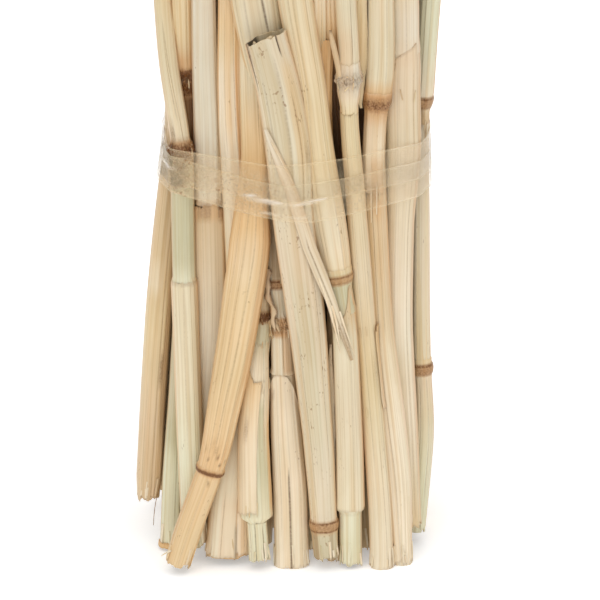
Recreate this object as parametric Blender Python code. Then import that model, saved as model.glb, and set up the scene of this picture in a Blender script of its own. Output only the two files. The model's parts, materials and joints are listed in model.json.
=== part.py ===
"""A bunch of dried reeds that stands on its cut feet, bound by two turns of clear tape.

The tables give millimetres, and the meshes are in metres. +X is the bunch's right, its front faces -Y,
and +Z is up. The reeds that show in front are placed by hand. The others fill the oval behind them, and
then all the reeds are pressed apart until none touches another.
"""
from collections import namedtuple
from math import pi

import bmesh
import bpy
import numpy as np
from mathutils import Matrix

MM = 0.001

# The bunch
BUNCH_HEIGHT = 420.0
KNOTS = np.array((0.0, 60.0, 120.0, 200.0, 240.0, 280.0, 350.0, 420.0))
SIGHTED = 6
CENTRE_X = np.array((-6.0, -4.5, -2.5, 0.0, 0.5, 1.0, 1.5, 2.0))
HALF_WIDTH = np.array((70.0, 67.5, 65.0, 62.5, 63.5, 65.0, 67.0, 69.0))
HALF_DEPTH = np.array((49.0, 48.5, 48.0, 47.0, 47.5, 48.5, 50.0, 52.0))
SQUARENESS = np.array((2.8, 2.8, 2.5, 2.1, 2.1, 2.1, 2.1, 2.1))
ALL_KNOTS = list(range(8))
STRAIGHT_KNOTS = [0, 3, 7]
LAYER_STEP = 10.0
FAN_SHARE = 0.5
FRONT_INSET = 6.0

# Spaces kept between the pieces
REED_GAP = 0.55
TAPE_GAP = 0.35

# Hollow ends
WALL_SHARE = 0.16
BORE_DEPTH = 14.0

# The least height between two sections of a reed
LEAST_STEP = 0.8

# The tape
TAPE_WIDTH = 18.0
TAPE_THICK = 0.4
TAPE_SIDES = 36
TAPE_START_TURN = 0.50
TAPE_SPAN = (174.0, 210.0)
TAPE_HEIGHTS = ((0.0, 194.0), (0.25, 194.0), (0.5, 199.0), (0.75, 198.0), (1.0, 195.0),
                (1.25, 185.5), (1.5, 189.0), (1.75, 192.0), (2.1, 194.0))

# The loose strip of sheath under the tape: height, place across, width
STRIP_THICK = 1.3
STRIP_SIDES = 6
STRIP_MARGIN = 1.0
STRIP = ((108.0, 26.0, 1.6), (122.0, 22.4, 4.0), (137.0, 17.8, 5.6), (150.0, 13.2, 7.2), (163.0, 8.8, 7.6),
         (176.0, 4.0, 7.6), (188.0, -0.6, 7.0), (200.0, -5.6, 6.2), (210.0, -9.4, 4.6), (222.0, -14.0, 1.6))

# Colour, as linear RGB
COLOURS = {
    "cream": (0.76, 0.62, 0.42), "yellow": (0.80, 0.56, 0.28), "green": (0.60, 0.58, 0.36),
    "white": (0.72, 0.64, 0.50), "grey": (0.60, 0.52, 0.38), "orange": (0.72, 0.46, 0.26),
    "tape": (0.80, 0.74, 0.64),
}

# A reed: layer counts how deep it lies behind the front, at each sighted knot where that changes, across
# gives its middle at the sighted knots, girth lists height and width, thick is the most that it measures
# from front to back, and lip is the slant of its upper cut
Reed = namedtuple("Reed", "name colour layer foot top across girth thick lip sides")
FRONT_SIDES = 8


def front_reed(name, colour, layer, foot, across, girth, thick=12.0, top=BUNCH_HEIGHT, lip=0.0):
    """Returns a reed whose place was read at the sighted knots."""
    return Reed(name, colour, layer, foot, top, across, girth, thick, lip, FRONT_SIDES)


FRONT_REEDS = (
    front_reed("reed_left_green", "green", (0.9, 0.2, -0.2, -0.2, -0.1, 0.0), 8.0,
               (-47.5, -48.5, -50.0, -51.5, -56.5, -59.5),
               ((8, 11.2), (63, 12.0), (139, 11.6), (140, 9.6), (199, 9.6), (203, 10.2), (208, 7.8),
                (275, 7.4))),
    front_reed("reed_leftmost", "cream", (1.3, 1.3, 1.4, 1.8, 2.3, 2.6), 18.0,
               (-70.5, -67.0, -63.0, -56.5, -54.0, -52.0),
               ((18, 9.5), (27, 11.4), (119, 12.0), (210, 10.5))),
    front_reed("reed_dark_node", "cream", (1.4, 1.7, 1.7, 1.4, 1.1, 1.0), 2.0,
               (-59.0, -56.0, -53.0, -48.5, -49.3, -51.0),
               ((2, 8.6), (36, 9.2), (78, 7.0), (225, 5.6), (229, 8.2), (238, 8.6), (243, 8.0), (275, 9.0))),
    front_reed("reed_whitish", "white", (1.1, 1.4, 1.5, 1.3, 1.1, 1.0), 10.0,
               (-44.0, -42.0, -39.0, -39.2, -40.2, -41.0),
               ((10, 12.0), (62, 13.0), (176, 14.0), (178, 11.2), (215, 10.8), (275, 9.0))),
    front_reed("reed_split_foot", "cream", 0.9, 3.0, (-32.0, -27.0, -26.5, -28.4, -29.0, -29.5),
               ((3, 19.0), (41, 17.0), (67, 14.0), (120, 10.0), (215, 9.0), (275, 6.4)), thick=9.5),
    front_reed("reed_green_rim", "cream", (0.6, 0.6, 1.0, 2.0, 2.4, 2.6), 1.0,
               (-16.5, -19.0, -15.4, -17.0, -19.0, -20.0),
               ((1, 8.4), (19, 8.4), (21, 15.0), (32, 15.2), (86, 12.6), (103, 9.2), (118, 7.8), (124, 8.5),
                (129, 6.4), (275, 5.2))),
    front_reed("reed_wide_flat", "cream", (1.2, 1.2, 1.1, 0.9, 0.5, 0.4), 5.0,
               (10.0, 9.5, 8.0, -5.0, -13.8, -18.0),
               ((5, 9.0), (120, 10.0), (182, 13.6), (230, 18.0), (278, 19.6), (420, 15.0)), thick=8.0),
    front_reed("reed_open_top", "grey", 0.0, 5.5, (14.4, 11.0, 6.0, -2.3, -8.5, -18.0),
               ((5.5, 10.3), (20, 11.2), (23, 12.0), (26, 11.2), (70, 11.6), (104, 13.3), (133, 15.0),
                (177, 15.8), (210, 19.2), (262, 18.8)), thick=10.5, top=262.0, lip=0.30),
    front_reed("reed_long_yellow", "yellow", 0.2, 2.0, (26.3, 24.8, 22.2, 13.4, 6.9, 0.3),
               ((2, 10.3), (29, 10.3), (30, 13.8), (121, 12.0), (140, 11.4), (146, 14.2), (151, 13.6),
                (281, 13.2))),
    front_reed("reed_orange_tip", "orange", 1.0, 0.5, (16.5, 18.0, 19.5, 17.8, 15.4, 13.2),
               ((0.5, 8.0), (133, 7.2), (230, 6.8), (259, 6.4)), top=259.0, lip=-0.3),
    front_reed("reed_thin_left", "orange", 1.9, 0.0, (8.0, 9.3, 10.6, 12.2, 11.3, 10.8),
               ((0, 7.6), (276, 5.0))),
    front_reed("reed_thin_right", "orange", 1.9, 2.5, (33.5, 29.7, 25.7, 20.4, 17.7, 15.3),
               ((2.5, 7.1), (276, 4.6))),
    front_reed("reed_knobbly", "white", 0.0, 0.0, (40.8, 37.2, 33.2, 26.5, 24.0, 22.4),
               ((0, 10.3), (66, 9.7), (136, 9.1), (185, 8.1), (229, 7.2), (235, 9.2), (242, 10.0),
                (249, 8.9), (281, 8.9))),
    front_reed("reed_speckled_node", "yellow", 0.4, 0.0, (50.0, 46.0, 40.0, 36.7, 37.9, 37.9),
               ((0, 8.0), (63, 9.3), (182, 9.5), (224, 9.0), (228, 11.4), (231, 11.0), (278, 10.7))),
    front_reed("reed_pale_right", "white", 0.2, 14.0, (54.2, 51.3, 48.8, 49.6, 49.6, 48.3),
               ((14, 10.3), (62, 11.2), (169, 11.0), (204, 14.0), (243, 13.4), (258, 10.8)), thick=9.0),
    front_reed("reed_rightmost", "yellow", 1.2, 7.0, (56.0, 59.4, 58.6, 58.5, 60.2, 61.5),
               ((7, 7.1), (88, 7.4), (91, 8.6), (96, 7.9), (165, 7.3), (217, 6.0), (222, 8.6), (226, 9.5))),
    front_reed("reed_leaning", "yellow", (0.0, 0.0, 0.0, 0.7, 1.3, 1.5), 0.0,
               (-54.0, -36.7, -28.0, -19.5, -22.0, -23.5),
               ((0, 11.4), (15, 12.1), (46, 11.6), (48, 12.4), (66, 13.8), (99, 16.5), (141, 18.2),
                (164, 18.2), (186, 13.6), (281, 9.6)), thick=10.5),
    front_reed("reed_peeled_node", "cream", (0.5, 0.6, 0.9, 1.7, 2.1, 2.3), 0.0,
               (-1.4, -3.2, -6.2, -9.2, -9.8, -10.2),
               ((0, 15.6), (41, 15.6), (70, 13.9), (96, 11.4), (98, 9.6), (113, 9.2), (123, 8.8),
                (131, 6.6), (139, 6.6), (142, 7.4), (160, 6.8), (281, 6.0)), thick=10.5),
    front_reed("reed_right_shade", "yellow", 3.5, 7.0, (56.0, 55.4, 55.0, 54.7, 54.6, 54.5),
               ((7, 7.6), (280, 7.0))),
)

# The hidden reeds: how many stand in each oval, the oval's share of the bunch, its first turn and the
# step to the next, the sides of a reed, and its slimmest and widest girth
BACK_SIDES = 7
INNER_SIDES = 6
HiddenRow = namedtuple("HiddenRow", "name count share first_turn turn_step sides slim wide")
HIDDEN_ROWS = (
    HiddenRow("reed_back", 15, 0.96, 0.014, 0.0350, BACK_SIDES, 11.4, 14.6),
    HiddenRow("reed_inner", 12, 0.63, -0.110, 0.0620, INNER_SIDES, 11.6, 14.8),
    HiddenRow("reed_core", 9, 0.34, 0.010, 0.1111, INNER_SIDES, 11.6, 14.6),
    HiddenRow("reed_heart", 1, 0.0, 0.0, 0.0, INNER_SIDES, 13.0, 15.0),
)
HIDDEN_COLOURS = ("cream", "yellow", "cream", "white", "cream", "green", "yellow", "grey")

# Pressing the reeds apart
STATION_STEP = 10.0
WINDOW = 8.0
SETTLING_ROUNDS = 420
FREE_ROUNDS = 260
HOLD_ACROSS = 0.30
HOLD_PLACE = 0.03
PUSH_SHARE = 0.45
LEAST_WEIGHT = 0.35
SMOOTHING = 0.05
GRAIN = 1e-4


def vary(index, low, high, seed=0.0):
    """Returns a value between low and high that looks irregular from one index to the next."""
    return low + (high - low) * ((seed + index * 0.618034) % 1.0)


def oval_point(turn, share, knot):
    """Returns the place on the bunch's oval at a turn from +X towards +Y."""
    cos, sin = np.cos(2 * pi * turn), np.sin(2 * pi * turn)
    power = 2.0 / SQUARENESS[knot]
    across = CENTRE_X[knot] + share * HALF_WIDTH[knot] * np.sign(cos) * abs(cos) ** power
    return across, share * HALF_DEPTH[knot] * np.sign(sin) * abs(sin) ** power


def front_depth(across, layer, knot):
    """Returns how far forward a front reed of a layer stands at its place across the bunch."""
    power = SQUARENESS[knot]
    beside = min(1.0, abs(across - CENTRE_X[knot]) / HALF_WIDTH[knot])
    return -(HALF_DEPTH[knot] - FRONT_INSET - LAYER_STEP * layer) * (1.0 - beside ** power) ** (1.0 / power)


def hidden_reeds():
    """Returns the reeds of the sides, the back and the middle, with their places at each knot."""
    reeds, places = [], []
    for row_index, row in enumerate(HIDDEN_ROWS):
        for index in range(row.count):
            width = vary(index, row.slim, row.wide, seed=0.37 * row_index)
            node = vary(index, 70.0, 150.0, seed=0.11 + 0.29 * row_index)
            rim = vary(index, 230.0, 330.0, seed=0.53 + 0.17 * row_index)
            foot = vary(index, 0.0, 9.0, seed=0.2) if index % 3 else 0.0
            top = BUNCH_HEIGHT - vary(index, 0.0, 16.0, seed=0.41 * row_index)
            girth = ((foot, width), (node - 2, 0.96 * width), (node + 2, width), (rim, 0.97 * width),
                     (rim + 1.5, 0.86 * width), (top, 0.82 * width))
            if row.sides < BACK_SIDES:
                girth = girth[:3] + girth[-1:]
            colour = HIDDEN_COLOURS[(3 * index + row_index) % len(HIDDEN_COLOURS)]
            reeds.append(Reed(f"{row.name}_{index + 1:02d}", colour, None, foot, top, None, girth, width,
                              0.0, row.sides))
            turn = row.first_turn + row.turn_step * index
            inset = row.share - 0.5 * width / HALF_DEPTH[3] * (row.share > 0.9)
            places.append([oval_point(turn, inset, knot) for knot in range(len(KNOTS))])
    return reeds, places


def sighted_places(reed):
    """Returns a front reed's place at each knot, fanned on above the last sighted one."""
    across = list(reed.across)
    slope = (across[-1] - across[3]) / (KNOTS[SIGHTED - 1] - KNOTS[3])
    for knot in range(SIGHTED, len(KNOTS)):
        across.append(across[SIGHTED - 1] + FAN_SHARE * slope * (KNOTS[knot] - KNOTS[SIGHTED - 1]))
    layers = reed.layer if isinstance(reed.layer, tuple) else (reed.layer,) * SIGHTED
    return [(x, front_depth(x, layers[min(knot, SIGHTED - 1)], knot)) for knot, x in enumerate(across)]


def section(reed, height):
    """Returns a reed's width and thickness at a height."""
    heights, widths = zip(*reed.girth)
    width = float(np.interp(height, heights, widths))
    return width, min(width, reed.thick)


def widest_section(reed, height):
    """Returns the width and thickness that clear a reed's nodes and rims near a height."""
    spans = [section(reed, height + step) for step in np.linspace(-WINDOW, WINDOW, 9)]
    return max(width for width, thick in spans), max(thick for width, thick in spans)


def station_shares(stations, knots_used):
    """Returns how much each knot counts at each station, on a line through the knots that are used."""
    heights = KNOTS[knots_used]
    shares = np.zeros((len(stations), len(KNOTS)))
    for s, height in enumerate(stations):
        low = min(int(np.searchsorted(heights, height, side="right")) - 1, len(heights) - 2)
        rise = (height - heights[low]) / (heights[low + 1] - heights[low])
        shares[s, knots_used[low]] = 1.0 - rise
        shares[s, knots_used[low + 1]] = rise
    return shares


def press_apart(reeds, places, front_count):
    """Moves the reeds' knots until each pair keeps its gap, and returns the knots' places."""
    count = len(reeds)
    stations = np.arange(0.0, BUNCH_HEIGHT + 0.1, STATION_STEP)
    flat = np.zeros((count, len(stations)))
    round_radius = np.zeros((count, len(stations)))
    present = np.zeros((count, len(stations)), dtype=bool)
    shares = np.zeros((count, len(stations), len(KNOTS)))
    for i, reed in enumerate(reeds):
        shares[i] = station_shares(stations, ALL_KNOTS if i < front_count else STRAIGHT_KNOTS)
        for s, height in enumerate(stations):
            width, thick = widest_section(reed, height)
            flat[i, s] = 0.5 * (width - thick)
            round_radius[i, s] = 0.5 * thick
            present[i, s] = reed.foot - WINDOW <= height <= reed.top + WINDOW
    spread = flat[:, None] + flat[None]
    wanted = round_radius[:, None] + round_radius[None] + REED_GAP
    meets = present[:, None] & present[None] & ~np.eye(count, dtype=bool)[:, :, None]
    knots = np.array(places)
    start = knots.copy()
    front = np.arange(count) < front_count
    for step in range(SETTLING_ROUNDS + FREE_ROUNDS):
        at = (shares[:, :, :, None] * knots[:, None]).sum(axis=2)
        apart_x = at[:, None, :, 0] - at[None, :, :, 0]
        apart_y = at[:, None, :, 1] - at[None, :, :, 1]
        apart_x = np.sign(apart_x) * np.maximum(np.abs(apart_x) - spread, 0.0)
        distance = np.sqrt(apart_x ** 2 + apart_y ** 2) + GRAIN
        short = np.where(meets, np.maximum(wanted - distance, 0.0), 0.0) / distance
        push = np.stack(((short * apart_x).sum(axis=1), (short * apart_y).sum(axis=1)), axis=-1)
        touched = short.sum(axis=1) > 0.0
        total = (shares[:, :, :, None] * push[:, :, None]).sum(axis=1)
        weight = (shares * touched[:, :, None]).sum(axis=1)
        knots = knots + PUSH_SHARE * total / np.maximum(weight, LEAST_WEIGHT)[:, :, None]
        if step < SETTLING_ROUNDS:
            knots[front, :, 0] += HOLD_ACROSS * (start[front, :, 0] - knots[front, :, 0])
            knots[~front, :, 0] += HOLD_PLACE * (start[~front, :, 0] - knots[~front, :, 0])
            knots[:, :, 1] += HOLD_PLACE * (start[:, :, 1] - knots[:, :, 1])
        middle = 0.5 * (knots[front, :-2, 1] + knots[front, 2:, 1])
        knots[front, 1:-1, 1] += SMOOTHING * (middle - knots[front, 1:-1, 1])
        knots = np.round(knots / GRAIN) * GRAIN
    straight = station_shares(KNOTS, STRAIGHT_KNOTS)
    knots[~front] = (straight[None, :, :, None] * knots[~front][:, None]).sum(axis=2)
    return knots


def place_at(knots, height):
    """Returns a reed's middle at a height, straight between its knots."""
    return float(np.interp(height, KNOTS, knots[:, 0])), float(np.interp(height, KNOTS, knots[:, 1]))


def ring_matrix(middle, height, width, thick, slant=0.0):
    """Returns the matrix that puts a circle of diameter 1 at a section of a reed, in metres."""
    return Matrix(((width * MM, 0.0, 0.0, middle[0] * MM), (0.0, thick * MM, 0.0, middle[1] * MM),
                   (slant * width * MM, 0.0, 1.0, height * MM), (0.0, 0.0, 0.0, 1.0)))


def loft(name, colour, matrices, sides):
    """Makes one closed solid that joins circles in a row, with its two ends filled."""
    bm = bmesh.new()
    last = len(matrices) - 1
    before = None
    for index, matrix in enumerate(matrices):
        ring = bmesh.ops.create_circle(bm, cap_ends=index in (0, last), radius=0.5, segments=sides,
                                       matrix=matrix)["verts"]
        if before:
            for k in range(sides):
                bm.faces.new((before[k - 1], before[k], ring[k], ring[k - 1]))
        before = ring
    bmesh.ops.recalc_face_normals(bm, faces=bm.faces)
    return add_object(name, colour, bm)


def add_object(name, colour, bm):
    """Puts a finished mesh in the scene as an object with its own material."""
    mesh = bpy.data.meshes.new(name)
    bm.to_mesh(mesh)
    bm.free()
    mesh.materials.append(make_material(name, colour))
    thing = bpy.data.objects.new(name, mesh)
    bpy.context.scene.collection.objects.link(thing)
    return thing


def make_material(name, colour):
    """Returns a plain material of one of the bunch's colours."""
    material = bpy.data.materials.new(name)
    material.use_nodes = True
    shader = material.node_tree.nodes["Principled BSDF"]
    shader.inputs["Base Color"].default_value = (*COLOURS[colour], 1.0)
    shader.inputs["Roughness"].default_value = 0.15 if colour == "tape" else 0.6
    shader.inputs["Metallic"].default_value = 0.0
    return material


def make_reed(reed, knots):
    """Makes one reed: its outside from foot to top, and the hollow of its cut ends."""
    bends = KNOTS if reed.across else KNOTS[STRAIGHT_KNOTS]
    heights = {reed.foot, reed.top} | {float(h) for h, _ in reed.girth} | {float(h) for h in bends}
    heights = sorted(h for h in heights if reed.foot <= h <= reed.top)
    heights = [h for h, after in zip(heights, heights[1:] + [np.inf]) if after - h > LEAST_STEP]
    rings = []

    def add_ring(height, inside=False, slant=0.0):
        width, thick = section(reed, height)
        if inside:
            wall = WALL_SHARE * thick
            width, thick = width - 2 * wall, thick - 2 * wall
        rings.append(ring_matrix(place_at(knots, height), height, width, thick, slant))

    if reed.across:
        add_ring(reed.foot + BORE_DEPTH, inside=True)
        add_ring(reed.foot, inside=True)
    for height in heights:
        add_ring(height, slant=reed.lip if height == reed.top else 0.0)
    add_ring(reed.top, inside=True, slant=reed.lip)
    add_ring(reed.top - BORE_DEPTH, inside=True)
    return loft(reed.name, reed.colour, rings, reed.sides)


def front_face(reeds, knots, across, height):
    """Returns how far forward the foremost reed comes at a place."""
    forward = np.inf
    for reed, path in zip(reeds, knots):
        if not reed.foot - STRIP_MARGIN <= height <= reed.top + STRIP_MARGIN:
            continue
        width, thick = widest_section(reed, height)
        middle = place_at(path, height)
        beside = max(abs(across - middle[0]) - 0.5 * (width - thick), 0.0)
        if beside < 0.5 * thick:
            forward = min(forward, middle[1] - (0.25 * thick ** 2 - beside ** 2) ** 0.5)
    return forward


def taut(points):
    """Returns only those points that a string pulled over them from the front would touch."""
    kept = []
    for point in points:
        while len(kept) > 1:
            (h0, y0), (h1, y1) = kept[-2:]
            if (y1 - y0) * (point[0] - h0) < (point[1] - y0) * (h1 - h0):
                break
            kept.pop()
        kept.append(point)
    return kept


def strip_path(reeds, knots):
    """Returns the middle of the loose strip at each of its heights, laid over the reeds."""
    clear = REED_GAP + 0.5 * STRIP_THICK
    over = []
    for height, across, width in STRIP:
        beside = 0.5 * width + STRIP_MARGIN
        edges = np.linspace(across - beside, across + beside, 9)
        over.append((height, min(front_face(reeds, knots, edge, height) for edge in edges) - clear))
    touched = taut(over)
    heights, depths = zip(*touched)
    return [((across, float(np.interp(height, heights, depths))), height, width)
            for height, across, width in STRIP]


def make_strip(path):
    """Makes the loose strip of sheath, thin and pointed at its upper end."""
    rings = [ring_matrix(middle, height, width, min(STRIP_THICK, 0.6 * width))
             for middle, height, width in path]
    return loft("loose_sheath", "yellow", rings, STRIP_SIDES)


def reach(reeds, knots, path, turn):
    """Returns how far the reeds and the strip come out in one direction at the tape's height."""
    cos, sin = np.cos(2 * pi * turn), np.sin(2 * pi * turn)
    furthest = 0.0
    for height in np.linspace(*TAPE_SPAN, 7):
        for reed, own in zip(reeds, knots):
            width, thick = widest_section(reed, height)
            middle = place_at(own, height)
            out = middle[0] * cos + middle[1] * sin + 0.5 * (width - thick) * abs(cos) + 0.5 * thick
            furthest = max(furthest, out)
    for middle, height, width in path:
        if TAPE_SPAN[0] - WINDOW < height < TAPE_SPAN[1] + WINDOW:
            out = middle[0] * cos + middle[1] * sin + 0.5 * width * abs(cos) + 0.5 * STRIP_THICK
            furthest = max(furthest, out)
    return furthest


def crossing(turn_a, reach_a, turn_b, reach_b):
    """Returns where two lines meet, each at its reach in the direction of its turn."""
    ca, sa = np.cos(2 * pi * turn_a), np.sin(2 * pi * turn_a)
    cb, sb = np.cos(2 * pi * turn_b), np.sin(2 * pi * turn_b)
    span = ca * sb - sa * cb
    return (reach_a * sb - reach_b * sa) / span, (reach_b * ca - reach_a * cb) / span


def tape_height(wound):
    """Returns the height of the tape's middle after a number of turns, eased between the readings."""
    turns, heights = zip(*TAPE_HEIGHTS)
    index = min(int(np.searchsorted(turns, wound, side="right")) - 1, len(turns) - 2)
    share = (wound - turns[index]) / (turns[index + 1] - turns[index])
    ease = 0.5 - 0.5 * np.cos(pi * share)
    return heights[index] + ease * (heights[index + 1] - heights[index])


def make_tape(reeds, knots, path):
    """Makes the tape: one strip that winds twice round the bunch, its second turn over its first."""
    reaches = [reach(reeds, knots, path, TAPE_START_TURN + k / TAPE_SIDES) for k in range(TAPE_SIDES)]
    steps = int(TAPE_HEIGHTS[-1][0] * TAPE_SIDES)
    bm = bmesh.new()
    before = None
    for step in range(steps):
        turns = [TAPE_START_TURN + (step + k) / TAPE_SIDES for k in (0, 1)]
        lift = [TAPE_GAP + (TAPE_THICK + TAPE_GAP) * (step + k) / TAPE_SIDES for k in (0, 1)]
        near = [reaches[(step + k) % TAPE_SIDES] + lift[k] for k in (0, 1)]
        inner = crossing(turns[0], near[0], turns[1], near[1])
        outer = crossing(turns[0], near[0] + TAPE_THICK, turns[1], near[1] + TAPE_THICK)
        middle = tape_height(step / TAPE_SIDES)
        low, high = middle - 0.5 * TAPE_WIDTH, middle + 0.5 * TAPE_WIDTH
        corners = [bm.verts.new((x * MM, y * MM, z * MM))
                   for (x, y), z in ((inner, low), (outer, low), (outer, high), (inner, high))]
        edges = [bm.edges.new((corners[k], corners[(k + 1) % 4])) for k in range(4)]
        if before:
            bmesh.ops.bridge_loops(bm, edges=before + edges)
        if step in (0, steps - 1):
            bm.faces.new(corners)
        before = edges
    bmesh.ops.recalc_face_normals(bm, faces=bm.faces)
    return add_object("tape", "tape", bm)


def stand_on_origin(things):
    """Moves the meshes so that the middle of the bunch's base is at the origin."""
    corners = np.array([vert.co for thing in things for vert in thing.data.vertices])
    low, high = corners.min(axis=0), corners.max(axis=0)
    shift = Matrix.Translation((-0.5 * (low[0] + high[0]), -0.5 * (low[1] + high[1]), -low[2]))
    for thing in things:
        thing.data.transform(shift)


def main():
    for thing in list(bpy.data.objects):
        bpy.data.objects.remove(thing)
    hidden, hidden_places = hidden_reeds()
    reeds = list(FRONT_REEDS) + hidden
    places = [sighted_places(reed) for reed in FRONT_REEDS] + hidden_places
    knots = press_apart(reeds, places, len(FRONT_REEDS))
    things = []
    for reed, reed_knots in zip(reeds, knots):
        things.append(make_reed(reed, reed_knots))
    path = strip_path(reeds, knots)
    things.append(make_strip(path))
    things.append(make_tape(reeds, knots, path))
    stand_on_origin(things)


main()
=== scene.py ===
"""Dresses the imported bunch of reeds.

Each stalk follows the line of its CAD solid. A stalk is a hollow tube with its nodes, wrapped in rolled
sheets for its leaf sheaths. The tables give millimetres, and angles round a reed in radians from its
front, growing to the right. The meshes are in metres.
"""
import json
from collections import namedtuple
from math import cos, pi, radians, sin

import bpy
import numpy as np
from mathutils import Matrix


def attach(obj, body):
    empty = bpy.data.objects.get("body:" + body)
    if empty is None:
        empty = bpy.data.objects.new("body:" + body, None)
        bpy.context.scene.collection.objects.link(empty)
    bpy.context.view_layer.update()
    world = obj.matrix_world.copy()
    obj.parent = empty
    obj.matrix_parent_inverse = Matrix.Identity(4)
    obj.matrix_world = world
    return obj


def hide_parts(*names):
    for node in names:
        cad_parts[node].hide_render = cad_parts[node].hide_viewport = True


bl_info = {
    "name": "Bunch of Reeds",
    "version": (1, 0, 0),
    "blender": (4, 5, 0),
    "location": "View3D > Sidebar > Reeds",
    "description": "Dresses the packed bunch of reeds with stalks, leaf sheaths and clear tape",
    "category": "Mesh",
}

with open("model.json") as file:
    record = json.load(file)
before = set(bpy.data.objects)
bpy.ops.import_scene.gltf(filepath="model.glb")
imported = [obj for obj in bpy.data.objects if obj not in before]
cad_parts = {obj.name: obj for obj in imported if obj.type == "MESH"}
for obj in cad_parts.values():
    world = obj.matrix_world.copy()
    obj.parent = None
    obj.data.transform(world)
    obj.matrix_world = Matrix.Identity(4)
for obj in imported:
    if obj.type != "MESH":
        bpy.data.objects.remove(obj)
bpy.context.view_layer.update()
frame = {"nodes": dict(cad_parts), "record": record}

MM = 0.001
SLOTS = {part["node"]: part["material_slot"] for part in frame["record"]["subparts"]}

# How a CAD reed is read: the depth of its hollow ends, the fewest corners of a level section and how near
# it is to a hollow's floor, the sides of a front reed, and the lengths over which its line, its width and
# the moves off its line are eased
BORE_DEPTH = 14.0
LEAST_RING = 6
RING_NEAR = 0.06
FRONT_SIDES = 8
LINE_STEP = 1.0
LINE_EASE = 7.0
WIDTH_EASE = 0.6
MOVE_EASE = 8.0

# How round a section is: 1 is an oval and less is squarer, for a front reed and for how much it is flattened
FRONT_ROUND = 0.88
FLAT_ROUND = 0.15

# Columns round a stalk, how many times as many a sheath has, and how much closer they lie at the front. Then
# the rows along them: the steps at the ends and nodes of front and hidden stalks and sheaths, the longest
# step elsewhere, how far the short steps reach, and how fast they grow beyond
FRONT_COLUMNS = 60
BACK_COLUMNS = 26
INNER_COLUMNS = 18
SHEATH_COLUMNS = 1.25
FRONT_CLOSER = 0.5
FINE_STEP = 0.7
FINE_SHEATH_STEP = 0.9
HIDDEN_STEP = 1.6
HIDDEN_SHEATH_STEP = 2.0
COARSE_STEP = 8.0
FINE_REACH = 2.0
ROW_EASE = 0.35

# How far a stalk's torn foot, its torn top and its slanting top reach along it, how far a sheath's torn
# ends do at least and at most, and how far its lifted ends do
FOOT_FRAY = 7.0
TOP_FRAY = 9.0
SLANT_REACH = 24.0
RIM_FRAY = 14.0
LOW_RIM_FRAY = 9.0
LIFT_REACH = 8.0

# Where a sheath wraps it, a stalk keeps at most this share of its width, which is read this far from the
# sheath's ends
TUCKED = 0.93
RIM_STEP = 1.4

# Half the height of each kind of node, and how brown it is
NODE_MARKS = {"line": (0.9, 1.0), "band": (1.6, 1.0), "crumb": (4.2, 1.15), "stipple": (3.2, 1.0),
              "knob": (4.5, 0.30)}

# The veins' distance apart and their strength on stalks, sheaths, small pieces and the loose sheath, the
# radius at which the grain is read, and the layers of the marks
VEIN_SPACING = 1.15
STALK_VEINS = 0.35
SHEATH_VEINS = 0.6
SLIVER_VEINS = (0.3, 0.3)
STRIP_VEINS = (0.4, 0.4)
GRAIN_RADIUS = 6.0
# The dark layer of the marks is painted shade, in hollow ends and open slits
BROWN, PAINTED_SHADE = 0, 1

SMOOTH_ANGLE = radians(42.0)


def paint(red, green, blue):
    """Returns a screen colour, given from 0 to 255, as linear RGB."""
    return tuple(((c / 255.0 + 0.055) / 1.055) ** 2.4 for c in (red, green, blue))


def swatch(name, text, *screen):
    """Returns a colour property with its default."""
    return bpy.props.FloatVectorProperty(name=name, description=text, subtype="COLOR", size=3, min=0.0,
                                         max=1.0, default=paint(*screen))


def length(name, text, default):
    """Returns a length property, in metres, from a default in millimetres."""
    return bpy.props.FloatProperty(name=name, description=text, default=default * MM, min=0.0, precision=5,
                                   subtype="DISTANCE", unit="LENGTH")


def share(name, text, default):
    """Returns a property for a share from 0 to 1."""
    return bpy.props.FloatProperty(name=name, description=text, default=default, min=0.0, max=1.0,
                                   subtype="FACTOR")


def lamp(name, text, default):
    """Returns a property for the strength of a light."""
    return bpy.props.FloatProperty(name=name, description="Strength of the " + text, default=default, min=0.0)


class ReedColours(bpy.types.PropertyGroup):
    """The colours of dried reed."""
    cream: swatch("Cream", "Common straw colour of a sheath", 229, 215, 186)
    pale: swatch("Pale", "Bleached sheath", 238, 226, 203)
    white: swatch("White", "Whitish bare culm", 228, 218, 198)
    grey: swatch("Grey", "Weathered grey beige", 228, 211, 184)
    straw: swatch("Straw", "Warm straw", 227, 207, 168)
    yellow: swatch("Yellow", "Yellow sheath", 231, 203, 160)
    amber: swatch("Amber", "Deep yellow, nearly orange", 228, 193, 143)
    orange: swatch("Orange", "Orange brown", 218, 172, 120)
    pink: swatch("Pink", "Pinkish orange bare culm", 222, 197, 163)
    peach: swatch("Peach", "Peach-coloured sheath", 237, 221, 193)
    tan: swatch("Tan", "Shaded tan fold", 218, 193, 156)
    # Umber and Shade are partly painted shade, for shaded sides, gaps and the reeds deep in the bunch, and
    # partly the colour of crumbs and strands
    umber: swatch("Umber", "Dark old stalk in the gaps", 150, 112, 72)
    shade: swatch("Shade", "Old stalks deep inside the bunch", 104, 74, 46)
    green: swatch("Green", "Greenish bare culm", 206, 200, 169)
    mint: swatch("Mint", "Palest green culm", 227, 223, 196)
    moss: swatch("Moss", "Greenish grey sheath", 208, 198, 168)
    pith: swatch("Pith", "Inside of a cut stalk", 236, 218, 184)
    node_brown: swatch("Node brown", "Brown of the nodes and torn rims", 104, 60, 20)
    fleck: swatch("Fleck", "Small lengthwise flecks", 140, 98, 58)
    # Painted shade: the dark inside hollow ends and open slits
    gap_shade: swatch("Gap dark", "Inside of a hollow end", 38, 24, 14)


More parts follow.
